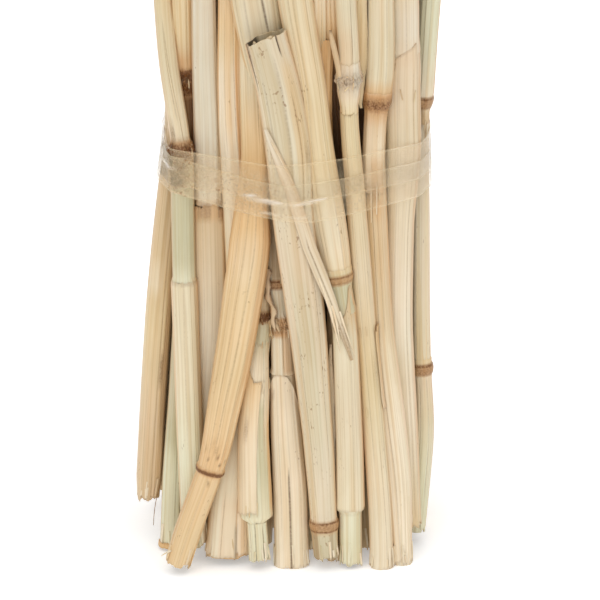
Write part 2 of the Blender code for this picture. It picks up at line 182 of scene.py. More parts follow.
class ReedBuild(bpy.types.PropertyGroup):
    """The thicknesses and the unevenness of a reed."""
    culm_wall: length("Culm wall", "Thickness of a stalk's own wall", 0.75)
    sheath_wall: length("Sheath wall", "Thickness of a leaf sheath", 0.32)
    overlap: length("Overlap", "How far a sheath's outer edge lies over its inner one", 0.42)
    relief: length("Relief", "Height of the lengthwise ribs", 0.08)
    swell: length("Swell", "How far a front reed swells into the gaps beside it", 0.55)
    streaks: share("Streaks", "Strength of the lengthwise streaks", 0.55)
    grain: share("Grain", "Strength of the fine grain", 0.65)
    veins: share("Veins", "Darkness of the parallel veins", 0.45)
    bump: share("Bump", "Depth of the fine grain", 0.35)


class TapeLook(bpy.types.PropertyGroup):
    """The clear tape."""
    width: length("Width", "Width of the tape", 18.0)
    thick: length("Thickness", "Thickness of the film", 0.10)
    clear: length("Clearance", "Space between the reeds and the tape", 0.15)
    film: swatch("Film", "Faint tint of the film", 241, 218, 176)
    dirt: swatch("Dirt", "Dust caught under the film", 150, 102, 52)
    veil: share("Veil", "How much the clean film hides", 0.05)
    rim: share("Rim", "How much the film hides where it turns away", 0.13)


class StageLook(bpy.types.PropertyGroup):
    """The floor, the light and the camera."""
    floor: swatch("Floor", "Plain pale floor", 254, 254, 254)
    distance: bpy.props.FloatProperty(name="Distance", description="From the bunch to the camera",
                                      default=2.0, unit="LENGTH", subtype="DISTANCE")
    elevation: bpy.props.FloatProperty(name="Elevation", description="How far the camera looks down",
                                       default=radians(23.0), unit="ROTATION", subtype="ANGLE")
    view_width: length("View width", "Width that the photograph shows at the bunch", 280.0)
    key: lamp("Key light", "main light from the left", 0.58)
    fill: lamp("Fill light", "light from the right", 0.21)
    top: lamp("Top light", "light from above", 1.25)
    sky: lamp("Sky", "even light", 0.43)


# The parts of a reed's look.
# Sheath: from low to high, its visible edge at the angles seam (at its low and its high end), on its right
# side for side 1 and its left side for side -1, going span round. Its paint is (height, colour) stops. rag is
# how torn its two ends are, lift how far they stand off, slant how much the upper end rises to the right,
# crest (angle, spread, rise) the points of the upper end, out how far it lies outside the CAD reed, and wave
# how much it ripples.
Sheath = namedtuple("Sheath", "low high seam side span paint rag lift slant crest out wave",
                    defaults=((0.8, 0.4), (0.2, 0.1), 0.0, (), 0.0, 0.0))
# Node: kind is line, band, crumb, stipple or knob, bulge how far it stands out, strength how brown it is, and
# reach half its height where it isn't the usual one
Node = namedtuple("Node", "height kind bulge strength reach", defaults=(0.0,))
# Line: a lengthwise crease or slit, its angles at both ends, its depth and how dark it is
Line = namedtuple("Line", "low high angle_low angle_high depth mark")
# Patch: paint is a colour's name, or brown, or dark for painted shade, and ease how softly it ends along the
# reed
Patch = namedtuple("Patch", "paint low high angle spread strength ease", defaults=(3.0,))
# Look: stalk is (height, colour) stops, and rag how torn its foot and its top are. Its pinch (height, share)
# flattens it from there to its top, and its slant tips its cut top. Its moves are (height, right, back, up),
# how far the dressed reed bends off its CAD line there, with zeros at their ends left out. It is wider by
# broad (height, half the extra width).
Look = namedtuple("Look", "stalk sheaths nodes lines patches rag pinch slant moves broad",
                  defaults=((), (), (), (), (1.0, 0.8), None, 0.0, (), ()))

# How far round a full sheath goes, with its overlap
FULL = 2 * pi + 0.6


def specks(*places):
    """Returns small brown specks, each from its low and high end, angle, spread and strength."""
    return tuple(Patch("brown", *place, 0.7) for place in places)


FRONT_LOOKS = {
    "reed_left_green": Look(
        stalk=((8, "cream"), (140, "mint"), (150, "green"), (198, "green"), (206, "cream"), (230, "cream"),
               (281, "straw")),
        sheaths=(Sheath(8, 139.5, (0.72, 0.78), 1, FULL, ((8, "moss"), (50, "mint"), (90, "cream")),
                        rag=(1.6, 0.35)),),
        nodes=(Node(203, "crumb", 0.4, 1.0),),
        lines=(Line(222, 281, -0.1, -0.35, 0.2, 0.45), Line(206, 262, 0.35, -0.2, 0.2, 0.35),
               Line(60, 135, -0.3, -0.2, 0.1, 0.2)),
        patches=(Patch("tan", 8, 139, 1.15, 0.42, 0.85), Patch("brown", 138.2, 139.6, 0.0, 3.2, 0.22, 0.5),
                 Patch("brown", 207, 214, -0.7, 0.3, 0.5)),
        moves=((8, 3, 0, 2), (140, 3, 0, 1), (180, 4, -1.5, 1), (206, 5, -3.5, 1), (225, 4.5, -4, 1),
               (250, 3.5, -3), (300, 3, -1), (420, 0))),
    "reed_leftmost": Look(
        stalk=((18, "pink"), (80, "tan")),
        sheaths=(Sheath(18, 300, (0.15, 0.35), 1, FULL,
                        ((60, "pink"), (110, "straw"), (160, "tan"), (200, "tan"), (300, "straw")),
                        rag=(2.2, 1.0)),),
        lines=(Line(60, 120, 0.62, 0.6, 0.25, 0.3), Line(18, 80, -0.5, -0.4, 0.1, 0.2)),
        patches=(Patch("pale", 132, 139, -0.5, 0.5, 0.55), Patch("brown", 84, 96, 0.42, 0.1, 0.5, 4.0),
                 Patch("brown", 204, 206, -0.35, 0.16, 1.0, 0.9),
                 # The umber on the right half is painted shade
                 Patch("umber", 60, 190, 1.15, 0.5, 0.45, 20.0)),
        rag=(2.0, 1.0),
        moves=((18, 0.5, 0, 7), (80, 0.5, 0, 3), (150, 1.2), (190, 2.6), (226, 7.5, 3), (281, 6.5, 3),
               (420, 0))),
    "reed_dark_node": Look(
        # The umber below the upper node is painted shade, and so is the orange on the right side above it
        stalk=((46, "mint"), (58, "green"), (74, "moss"), (120, "moss"), (196, "umber"), (231, "umber"),
               (242, "tan"), (256, "straw")),
        sheaths=(Sheath(1.5, 4.4, (0.7, 0.9), 1, 2.4, ((2, "amber"), (7, "orange")), rag=(0.3, 0.8),
                        lift=(0.7, 0.1), out=0.2),),
        nodes=(Node(238.3, "crumb", 0.5, 2.2, 2.2), Node(232, "crumb", 0.3, 1.1)),
        lines=(Line(246, 281, 0.3, 0.4, 0.15, 0.3), Line(20, 70, 0.35, 0.3, 0.15, 0.3)),
        patches=(Patch("orange", 238, 281, 0.9, 0.4, 0.5), Patch("orange", 238, 246, 0.0, 3.2, 0.5, 5.0),
                 Patch("brown", 200, 226, 0.5, 0.25, 0.5, 8.0),
                 Patch("brown", 200, 226, -0.5, 0.2, 0.4, 8.0)),
        moves=((150, 0), (201, 2, 1), (240, 1.5, 1, -1), (281, -0.5), (420, 0))),
    "reed_whitish": Look(
        stalk=((10, "grey"), (178, "white")),
        sheaths=(Sheath(10, 177.5, (1.1, 1.0), 1, FULL,
                        ((10, "cream"), (80, "pale"), (120, "pale"), (177, "tan")), rag=(1.5, 1.4),
                        lift=(0.2, 0.3)),),
        lines=(Line(178, 281, 0.72, 0.8, 0.12, 0.25), Line(60, 176, -0.35, -0.3, 0.1, 0.2)),
        patches=(Patch("brown", 158, 161, 0.05, 0.05, 0.35, 1.0), Patch("tan", 20, 178, 1.1, 0.4, 0.6),
                 Patch("orange", 172, 179, 0.1, 1.3, 0.4), Patch("brown", 173, 178, -0.3, 0.35, 0.4, 2.5),
                 Patch("brown", 172, 179, 0.7, 0.2, 0.5, 2.5), Patch("tan", 180, 281, 1.0, 0.3, 0.5),
                 Patch("pink", 178, 215, -1.0, 0.3, 0.3)),
        moves=((60, 0), (125, 1.3), (175, 2, 0, -1), (214, 2.5), (250, 1.5), (300, 0.5)),
        broad=((0, 0.3), (165, 0.7), (180, 0.0), (200, 0.5), (281, 0.6))),
    "reed_split_foot": Look(
        stalk=((3, "tan"), (80, "peach"), (130, "straw"), (200, "pale"), (240, "pale"), (256, "straw"),
               (268, "yellow"), (281, "tan")),
        sheaths=(Sheath(4.5, 96, (-0.75, -0.6), 1, 1.1, ((4, "pale"), (96, "peach")), rag=(1.6, 3.0),
                        lift=(0.6, 0.1), out=0.25),
                 Sheath(3.2, 100, (0.24, 0.2), 1, 0.95, ((3, "pale"), (100, "straw")), rag=(2.0, 3.0),
                        lift=(0.9, 0.1), out=0.3),
                 Sheath(3.0, 98, (0.28, 0.25), -1, 1.6, ((3, "pale"), (98, "peach")), rag=(2.4, 3.0),
                        lift=(0.5, 0.1), out=0.2)),
        lines=(Line(210, 281, 0.35, 0.3, 0.2, 0.35), Line(206, 270, -0.35, -0.3, 0.15, 0.25),
               Line(3, 30, -0.25, -0.2, 0.2, 0.4), Line(3, 40, 0.8, 0.7, 0.2, 0.3)),
        patches=(Patch("amber", 190, 281, 0.75, 0.3, 0.5, 9.0),
                 Patch("orange", 195, 250, 0.5, 0.08, 0.6, 9.0),
                 Patch("orange", 225, 300, -1.2, 0.2, 0.6, 9.0),
                 # The dark patch is painted shade in a slit at the foot
                 Patch("yellow", 215, 262, -0.15, 0.2, 0.6, 9.0), Patch("dark", 3, 18, 0.26, 0.04, 0.3),
                 Patch("orange", 3, 30, 0.3, 0.6, 0.25, 9.0)),
        rag=(1.4, 0.8),
        broad=((120, 0.0), (200, 0.9), (281, 1.2)),
        moves=((4, -2, -6, 1.5), (21, -1.5, -6, 1.5), (42, 0, -3), (67, 3), (110, 2.5), (215, 2.5), (277, 5),
               (420, 3))),
    "reed_green_rim": Look(
        # The umber above the node is painted shade
        stalk=((22, "mint"), (60, "cream"), (104, "green"), (118, "moss"), (131, "tan"), (160, "umber"),
               (281, "tan")),
        sheaths=(Sheath(18.6, 112, (1.35, 1.2), 1, FULL,
                        ((18, "mint"), (46, "green"), (70, "peach"), (84, "pale"), (100, "pale"),
                         (112, "moss")), rag=(1.2, 3.0), out=-0.25),
                 Sheath(24.5, 92, (0.02, 0.28), 1, 2.3, ((60, "peach"), (92, "yellow")), rag=(1.8, 2.0),
                        lift=(0.5, 0.3), out=0.15, crest=((-0.9, 0.5, 8.0),))),
        nodes=(Node(124, "crumb", 0.3, 1.5, 2.2),),
        lines=(Line(1, 17, -0.2, -0.15, 0.2, 0.7), Line(1, 14, 0.5, 0.5, 0.2, 0.7),
               Line(1, 19, -0.8, -0.8, 0.1, 0.4), Line(60, 110, 0.75, 0.5, 0.2, 0.4)),
        patches=(Patch("green", 40, 80, 0.42, 0.16, 0.9, 5.0), Patch("amber", 28, 70, 1.25, 0.3, 0.7, 5.0),
                 Patch("brown", 44, 60, 1.35, 0.06, 0.4), Patch("brown", 66, 69, -0.5, 0.14, 0.35, 1.5)),
        rag=(1.4, 0.5),
        moves=((5, 0.5, 0, 4), (19, -1, 0, 5.5), (30, -1.5, 0, 5.5), (71, -2.5, 0, 3), (104, -1.5, 0, 1),
               (130, 0))),
    "reed_wide_flat": Look(
        stalk=((281, "cream"), (420, "grey")),
        lines=(Line(262, 278, 0.28, 0.2, 0.35, 0.8), Line(240, 290, -0.35, -0.3, 0.15, 0.3),
               Line(240, 300, 0.7, 0.7, 0.15, 0.3), Line(240, 300, -0.8, -0.8, 0.15, 0.3)),
        patches=(Patch("straw", 240, 300, -1.0, 0.4, 0.5),),
        moves=((150, 0), (250, -6), (281, -4.6), (420, 0)),
        broad=((240, 0.0), (281, 0.8))),
    "reed_open_top": Look(
        stalk=((19, "moss"), (25, "grey"), (34, "cream"), (120, "grey"), (160, "grey"), (200, "cream"),
               (262, "grey")),
        nodes=(Node(22, "band", 0.5, 1.1, 2.1),),
        lines=(Line(247, 266, -0.95, -1.1, 0.5, 1.0), Line(256, 268, 0.46, 0.42, 0.5, 1.0),
               Line(150, 235, 0.55, 0.5, 0.2, 0.5), Line(190, 250, 0.05, 0.1, 0.12, 0.35),
               Line(60, 150, 0.65, 0.6, 0.15, 0.35), Line(40, 120, -0.4, -0.4, 0.1, 0.25),
               Line(180, 240, -0.55, -0.5, 0.12, 0.3)),
        patches=(Patch("moss", 215, 258, -0.35, 0.4, 0.35, 8.0),
                 Patch("brown", 203, 208, 0.9, 0.15, 0.3, 3.0),
                 Patch("green", 60, 140, -0.1, 0.35, 0.3, 12.0), Patch("white", 26, 60, 0.2, 0.5, 0.4, 10.0),
                 Patch("umber", 5, 20, -0.9, 0.35, 0.5), Patch("umber", 5, 20, 0.5, 0.12, 0.4),
                 Patch("brown", 254, 268, -1.0, 0.12, 0.5, 3.0),
                 # The amber on the upper right side is painted warm shade
                 Patch("amber", 203, 245, 0.65, 0.35, 0.5, 8.0)),
        rag=(1.0, 0.7),
        pinch=(225.0, 0.78),
        slant=1.4,
        moves=((5, 0.5, 0, 1), (120, 0), (180, -1, 0, 1), (212, 1.5, 0, 1.5), (262, 0.6, 0, 1.4)),
        broad=((30, 0.0), (60, 0.7), (170, 1.0), (230, 0.3), (262, 0.0))),
    "reed_long_yellow": Look(
        stalk=((28, "mint"), (36, "cream"), (120, "cream"), (133, "green"), (142, "green"), (150, "straw"),
               (281, "cream"), (350, "straw"), (420, "cream")),
        sheaths=(Sheath(30.5, 128, (-1.2, -1.1), -1, FULL,
                        ((30, "cream"), (80, "grey"), (116, "cream"), (128, "tan")), rag=(0.7, 1.0),
                        lift=(0.1, 0.5), crest=((0.85, 0.45, 13.0), (-0.6, 0.5, -9.0))),
                 Sheath(150, 330, (-0.5, -0.3), -1, FULL,
                        ((150, "straw"), (162, "cream"), (180, "cream"), (200, "straw"), (330, "cream")),
                        rag=(0.2, 0.5), lift=(-0.3, 0.0), out=0.2)),
        nodes=(Node(145, "band", 0.3, 0.8, 1.5),),
        lines=(Line(160, 281, -0.2, -0.1, 0.12, 0.25), Line(150, 281, 0.55, 0.5, 0.12, 0.22),
               Line(32, 120, 0.25, 0.3, 0.1, 0.2)),
        patches=(Patch("peach", 152, 162, 0.3, 0.8, 0.5), Patch("tan", 200, 281, -0.9, 0.3, 0.35),
                 Patch("brown", 28.5, 31, 0.0, 3.2, 0.12, 1.0)),
        rag=(1.0, 0.6),
        moves=((3, -1), (60, 0), (128, 1.0, 0, 2), (148, 0, 0, 2), (172, -1.2, 0, 0.5), (196, -2.6),
               (215, -2.6), (236, -2.0), (281, -2), (420, 0)),
        broad=((150, -0.4), (172, 1.2), (198, 0.8), (225, 0.0), (250, 0.3), (281, 0.9))),
    "reed_orange_tip": Look(
        # Below the orange tip the stalk is painted shade, where it sinks into the gap
        stalk=((120, "tan"), (206, "shade"), (220, "umber"), (232, "amber")),
        lines=(Line(180, 250, 0.2, 0.2, 0.15, 0.3),),
        patches=(Patch("orange", 230, 262, 0.2, 1.4, 0.2, 9.0),),
        rag=(0.8, 0.6),
        moves=((150, 0), (195, -3, -3), (228, -3.2, -4), (259, -1.3, -5, 1)),
        broad=((180, 0.0), (210, -0.5), (240, 0.0), (259, 0.8))),
    "reed_thin_left": Look(
        # Below its top the stalk is painted shade, where it lies in the gap
        stalk=((0, "tan"), (190, "shade"), (246, "shade"), (262, "straw"), (281, "peach")),
        lines=(Line(200, 281, 0.3, 0.3, 0.2, 0.4),),
        moves=((200, 0), (260, 0, -14), (281, 0, -14), (420, 0)),
        broad=((200, 0.0), (281, 0.6))),
    "reed_thin_right": Look(
        # Below its top the stalk is painted shade, where it lies in the gap
        stalk=((2, "tan"), (190, "shade"), (246, "shade"), (262, "amber"), (281, "peach")),
        lines=(Line(200, 281, 0.0, 0.0, 0.2, 0.4),),
        moves=((200, 0), (260, 0, -14), (281, 0, -14), (420, 0)),
        broad=((200, 0.0), (281, 0.6))),
    "reed_knobbly": Look(
        stalk=((0, "peach"), (120, "straw"), (226, "straw"), (234, "grey"), (241, "white"), (249, "white"),
               (256, "cream")),
        sheaths=(Sheath(0.5, 226, (0.85, 0.5), 1, FULL,
                        ((0, "pale"), (40, "peach"), (90, "straw"), (110, "straw"), (150, "cream"),
                         (195, "straw")), rag=(2.4, 0.8), out=0.15),
                 Sheath(250, 330, (0.2, 0.55), 1, FULL, ((250, "cream"),), rag=(1.2, 0.5), out=0.1),
                 Sheath(78, 122, (1.75, 1.5), 1, 0.7, ((78, "peach"), (122, "amber")), rag=(3.0, 3.0),
                        lift=(0.5, 0.6), out=0.5)),
        nodes=(Node(242, "knob", 0.8, 1.2),),
        lines=(Line(170, 228, -0.45, -0.35, 0.2, 0.5), Line(60, 170, -0.2, -0.2, 0.12, 0.25),
               Line(0, 60, 0.3, 0.3, 0.12, 0.3), Line(256, 281, 0.25, 0.35, 0.2, 0.5)),
        patches=(Patch("orange", 240, 262, -0.2, 0.5, 0.3, 9.0),
                 Patch("brown", 94, 104, 0.6, 0.3, 0.18, 5.0), Patch("tan", 165, 225, -0.95, 0.3, 0.5),
                 Patch("brown", 188, 194, -0.75, 0.2, 0.5, 2.0)),
        rag=(1.6, 0.6),
        moves=((0, 0, -4), (13, 1, -4), (41, 1, -3), (100, 0), (160, -1), (210, -2), (235, -0.5), (252, 1),
               (281, 0))),
    "reed_speckled_node": Look(
        stalk=((0, "pale"), (60, "peach"), (184, "pink"), (206, "peach"), (222, "pink"), (240, "peach"),
               (255, "cream")),
        sheaths=(Sheath(0.5, 186, (-0.05, -0.25), 1, FULL, ((70, "pale"), (105, "cream"), (150, "tan")),
                        rag=(2.4, 4.0), out=0.1),
                 Sheath(234, 330, (-0.85, -0.9), -1, FULL, ((233, "straw"), (242, "cream")), rag=(0.4, 0.5),
                        lift=(-0.2, 0.0), out=0.15)),
        nodes=(Node(229, "stipple", 0.15, 1.25, 3.6),),
        lines=(Line(120, 184, 0.25, 0.1, 0.15, 0.4), Line(0, 60, 0.35, 0.3, 0.12, 0.3),
               Line(240, 281, 0.4, 0.45, 0.12, 0.25)),
        patches=(Patch("orange", 230, 233, 0.0, 3.2, 0.7, 8.0),
                 Patch("brown", 183, 190, -0.3, 0.6, 0.3, 2.0),
                 Patch("orange", 222, 229, 0.0, 3.2, 0.4, 4.0),
                 Patch("orange", 176, 200, 0.3, 0.5, 0.4, 6.0), Patch("tan", 120, 180, 0.9, 0.4, 0.4, 12.0)),
        rag=(2.0, 0.6),
        moves=((0, 0.4, -5), (40, 1, -3), (63, 0, -1.5), (99, -1.5), (153, -1.5), (222, -1.2), (250, 0.5),
               (281, 0)),
        broad=((0, 0.3), (40, 1.6), (90, 1.6), (125, 0.0), (226, 0.0), (236, 0.8), (281, 0.2))),
    "reed_pale_right": Look(
        stalk=((240, "pale"), (256, "white"), (268, "white"), (281, "cream")),
        sheaths=(Sheath(14, 251, (0.85, 0.8), 1, FULL,
                        ((14, "straw"), (50, "pale"), (150, "pale"), (182, "cream"), (251, "grey")),
                        rag=(1.6, 0.4), slant=7.0, out=0.1),
                 Sheath(14, 232, (-0.95, -0.9), 1, 0.8, ((14, "peach"), (232, "cream")), rag=(2.5, 2.0),
                        out=0.3)),
        lines=(Line(20, 238, 0.45, 0.5, 0.15, 0.3), Line(60, 240, -0.3, -0.25, 0.1, 0.15),
               Line(250, 281, 0.1, 0.1, 0.2, 0.25)),
        patches=(Patch("brown", 243, 246, -0.7, 0.25, 0.6, 1.2),
                 # The orange along the right side is painted warm shade beside the next reed
                 Patch("orange", 40, 235, 1.15, 0.3, 0.3, 9.0), Patch("orange", 246, 256, 0.0, 0.9, 0.1)),
        broad=((60, 0.3), (240, 0.8), (281, 1.0)),
        moves=((14, -0.4), (60, -1), (100, -1.5), (168, -1.4), (204, 0), (229, -1), (260, 0))),
    "reed_rightmost": Look(
        stalk=((40, "mint"), (70, "cream"), (88, "grey"), (96, "straw"), (165, "cream"), (215, "tan"),
               (226, "pale"), (250, "mint")),
        sheaths=(Sheath(97, 212, (-0.5, -0.4), 1, FULL, ((97, "cream"), (150, "pale")), rag=(0.3, 1.5),
                        lift=(-0.1, 0.1), out=0.05),),
        nodes=(Node(222, "band", 0.4, 1.15, 2.1), Node(92, "band", 0.5, 1.25, 2.1)),
        lines=(Line(7, 84, -0.3, -0.3, 0.2, 0.4), Line(30, 86, 0.5, 0.4, 0.2, 0.3),
               Line(230, 281, -0.3, -0.3, 0.12, 0.25)),
        patches=(Patch("brown", 246, 248, -0.2, 0.1, 0.7, 0.8), Patch("brown", 268, 270, 0.3, 0.1, 0.6, 0.8),
                 Patch("umber", 210, 220, -0.5, 0.5, 0.5), Patch("white", 30, 60, 0.9, 0.4, 0.4),
                 Patch("brown", 206, 212, 0.5, 0.2, 0.5, 1.5)),
        rag=(1.8, 0.6),
        broad=((8, 0.8), (50, 0.8), (86, 0.0), (200, 0.0), (218, -0.6), (250, -0.4), (281, 0.0)),
        moves=((8, 0.2), (30, 0.8), (60, 1.2), (94, 0, 0, -2.5), (163, -0.8), (221, -1.6), (250, -1.3),
               (281, -0.4), (300, 0))),
    "reed_leaning": Look(
        stalk=((60, "yellow"), (281, "amber")),
        sheaths=(Sheath(49.5, 330, (0.42, 0.8), 1, FULL,
                        ((150, "yellow"), (175, "amber"), (215, "yellow"), (240, "cream"), (281, "straw"),
                         (330, "amber")), rag=(0.5, 0.5), lift=(-0.1, 0.0)),),
        nodes=(Node(48, "line", 0.5, 1.5),),
        lines=(Line(50, 190, -0.3, -0.1, 0.12, 0.3), Line(60, 180, 0.1, 0.25, 0.12, 0.35),
               Line(2, 46, 0.1, 0.1, 0.1, 0.25), Line(90, 200, -0.65, -0.5, 0.1, 0.25),
               Line(215, 281, 0.1, 0.2, 0.15, 0.4)),
        patches=(Patch("brown", 93, 97, 0.55, 0.1, 0.35, 1.6), Patch("brown", 72, 75, 1.05, 0.06, 0.5, 0.8),
                 Patch("orange", 51, 62, 0.0, 1.5, 0.25, 6.0),
                 Patch("orange", 100, 205, 1.0, 0.35, 0.5, 12.0),
                 Patch("pale", 150, 162, -0.2, 0.5, 0.25, 6.0), Patch("amber", 188, 204, 0.0, 1.0, 0.5, 6.0),
                 *specks((55, 56, -0.35, 0.05, 0.6), (56, 57, 0.15, 0.05, 0.5), (58, 59, 0.65, 0.05, 0.5),
                         (60, 61, -0.7, 0.05, 0.4), (43, 44, 0.1, 0.05, 0.5), (53, 54, 0.45, 0.08, 0.6),
                         (61, 61.6, 0.27, 0.04, 0.5), (62, 62.6, -0.8, 0.04, 0.4),
                         (64, 64.6, -0.2, 0.03, 0.4), (66, 67, 0.3, 0.05, 0.5), (72, 73, 0.54, 0.04, 0.4),
                         (84, 85, 0.5, 0.04, 0.35), (54, 54.8, 0.9, 0.05, 0.5),
                         (59, 59.6, 0.0, 0.04, 0.4))),
        rag=(2.2, 0.6),
        moves=((0, -0.6, 0, 5), (18, -0.6, 0, 5), (50, 0.9, 0, 3), (69, 0.0, 0, 2), (100, -0.2), (127, -0.4),
               (145, 0.8), (163, 1.5), (184, 0), (222, 2.2), (250, 4), (281, 5), (420, 0))),
    "reed_peeled_node": Look(
        stalk=((124, "pale"), (133, "cream"), (139, "pale"), (146, "cream"), (281, "straw")),
        sheaths=(Sheath(0.5, 96.5, (-1.2, -1.1), -1, FULL, ((0, "pale"),), rag=(2.2, 0.5), lift=(0.2, 0.3),
                        crest=((1.5, 0.75, -22.0), (-1.4, 0.6, -7.0))),
                 Sheath(116, 148, (-0.7, -1.1), 1, 0.55, ((116, "straw"), (148, "umber")), rag=(2.5, 3.0),
                        lift=(0.3, 0.9), out=0.9, wave=0.7)),
        nodes=(Node(142, "band", 0.3, 1.2, 1.5), Node(123, "knob", 0.7, 0.9), Node(121, "crumb", 0.0, 0.2)),
        lines=(Line(0, 46, 0.02, -0.02, 0.25, 0.78), Line(100, 118, 0.1, 0.1, 0.2, 0.4),
               Line(10, 90, 0.6, 0.55, 0.12, 0.25), Line(20, 90, -0.45, -0.4, 0.1, 0.2)),
        patches=(Patch("brown", 84, 87, -0.75, 0.1, 0.3, 1.5), Patch("orange", 98, 116, 0.5, 0.4, 0.5),
                 # The umber above the upper node is painted shade
                 Patch("orange", 40, 95, 1.1, 0.35, 0.3), Patch("umber", 146, 170, 0.0, 0.5, 0.5, 9.0)),
        rag=(1.5, 0.6),
        moves=((0, 0, -3), (40, 0, -2), (84, -2.3, -0.5), (100, -2.8, -1.5), (122, -3, -2.5, -1.5),
               (140, -3.5, -2.5, -2), (156, -2.7, -1.5, -2.4), (190, 0))),
    "reed_right_shade": Look(
        stalk=((60, "tan"), (420, "straw")),
        lines=(Line(7, 120, 0.0, 0.0, 0.2, 0.4),),
        rag=(1.5, 0.8)),
}

# The sides of the front reeds, where they lie against their neighbours, are painted warmer and darker
# as painted shade. The leftmost one is pinkish there.
PAINTED_SIDE_SHADE = tuple(Patch("orange", 12, 400, side * 1.32, 0.22, 0.4, 8.0) for side in (-1.0, 1.0))
FRONT_LOOKS.update({name: look._replace(patches=look.patches + PAINTED_SIDE_SHADE)
                    for name, look in FRONT_LOOKS.items() if name != "reed_leftmost"})

# Small loose pieces on a reed: the reed's node, the paint, its two ends as (height, angle, out), its width,
# how far it bows outwards, its thickness, the angle that it faces where it doesn't face outwards, its rows,
# and how far it curls to and fro. One of more than LEAF_ROWS rows is a long leaf, with a narrow foot, a flat
# back and uneven edges, and one of up to BIT_ROWS has three columns instead of five.
Sliver = namedtuple("Sliver", "node paint start end width bow thick face rows curl",
                    defaults=(0.3, None, 14, 0.0))
LEAF_ROWS = 20
BIT_ROWS = 8
SLIVERS = (
    Sliver("reed_dark_node", "umber", (33.0, -1.35, 1.0), (10.0, -1.75, 3.6), 0.35, 0.6),
    Sliver("reed_knobbly", "pink", (243.0, -0.95, -0.4), (266.5, -1.2, 3.6), 4.0, 0.4, 1.4),
    Sliver("reed_speckled_node", "straw", (226.0, -1.2, 1.4), (345.0, -1.2, 3.9), 5.6, 0.5, 0.4, 0.0, 60),
    Sliver("reed_speckled_node", "pale", (176.0, 0.05, 0.3), (192.0, 0.15, 0.9), 0.5, 0.3),
    Sliver("reed_speckled_node", "peach", (172.0, -0.35, 0.3), (190.0, -0.2, 0.8), 0.6, 0.3),
    Sliver("reed_peeled_node", "pink", (150.0, -0.95, 1.2), (119.5, -0.35, 1.3), 3.0, 0.9, 0.3, -0.4, 20,
           0.7),
    Sliver("reed_peeled_node", "tan", (126.0, -0.4, 0.4), (119.0, -0.1, 1.0), 1.4, 0.5, 0.3, -0.1, 6),
    Sliver("reed_long_yellow", "cream", (33.0, -1.45, 1.4), (112.0, -1.5, 0.6), 3.2, 0.2, 0.4, -0.3, 24),
    Sliver("reed_leaning", "pale", (6.0, -0.9, 0.2), (0.8, -1.5, 2.6), 1.4, 0.3),
    Sliver("reed_split_foot", "peach", (12.0, 1.3, 0.2), (2.5, 1.45, 1.6), 1.2, 0.2),
    Sliver("reed_open_top", "pith", (258.0, -0.1, -4.2), (263.0, 0.35, -3.2), 4.0, 0.2),
    Sliver("reed_open_top", "pith", (256.0, -0.75, -4.2), (262.0, -0.8, -3.4), 3.0, 0.2),
)


def eased(values, reach):
    """Returns samples with their bends rounded off, straight on past both ends."""
    places = np.arange(-int(3 * reach) - 1, int(3 * reach) + 2)
    kernel = np.exp(-0.5 * (places / reach) ** 2)
    kernel = kernel / kernel.sum()
    margin = len(kernel) // 2
    before = values[0] + (values[1] - values[0]) * np.arange(-margin, 0)
    after = values[-1] + (values[-1] - values[-2]) * np.arange(1, margin + 1)
    return np.convolve(np.concatenate((before, values, after)), kernel, mode="valid")


def mesh_points(mesh):
    """Returns the places of a mesh's points, one a row."""
    points = np.empty(len(mesh.vertices) * 3)
    mesh.vertices.foreach_get("co", points)
    return points.reshape(-1, 3)


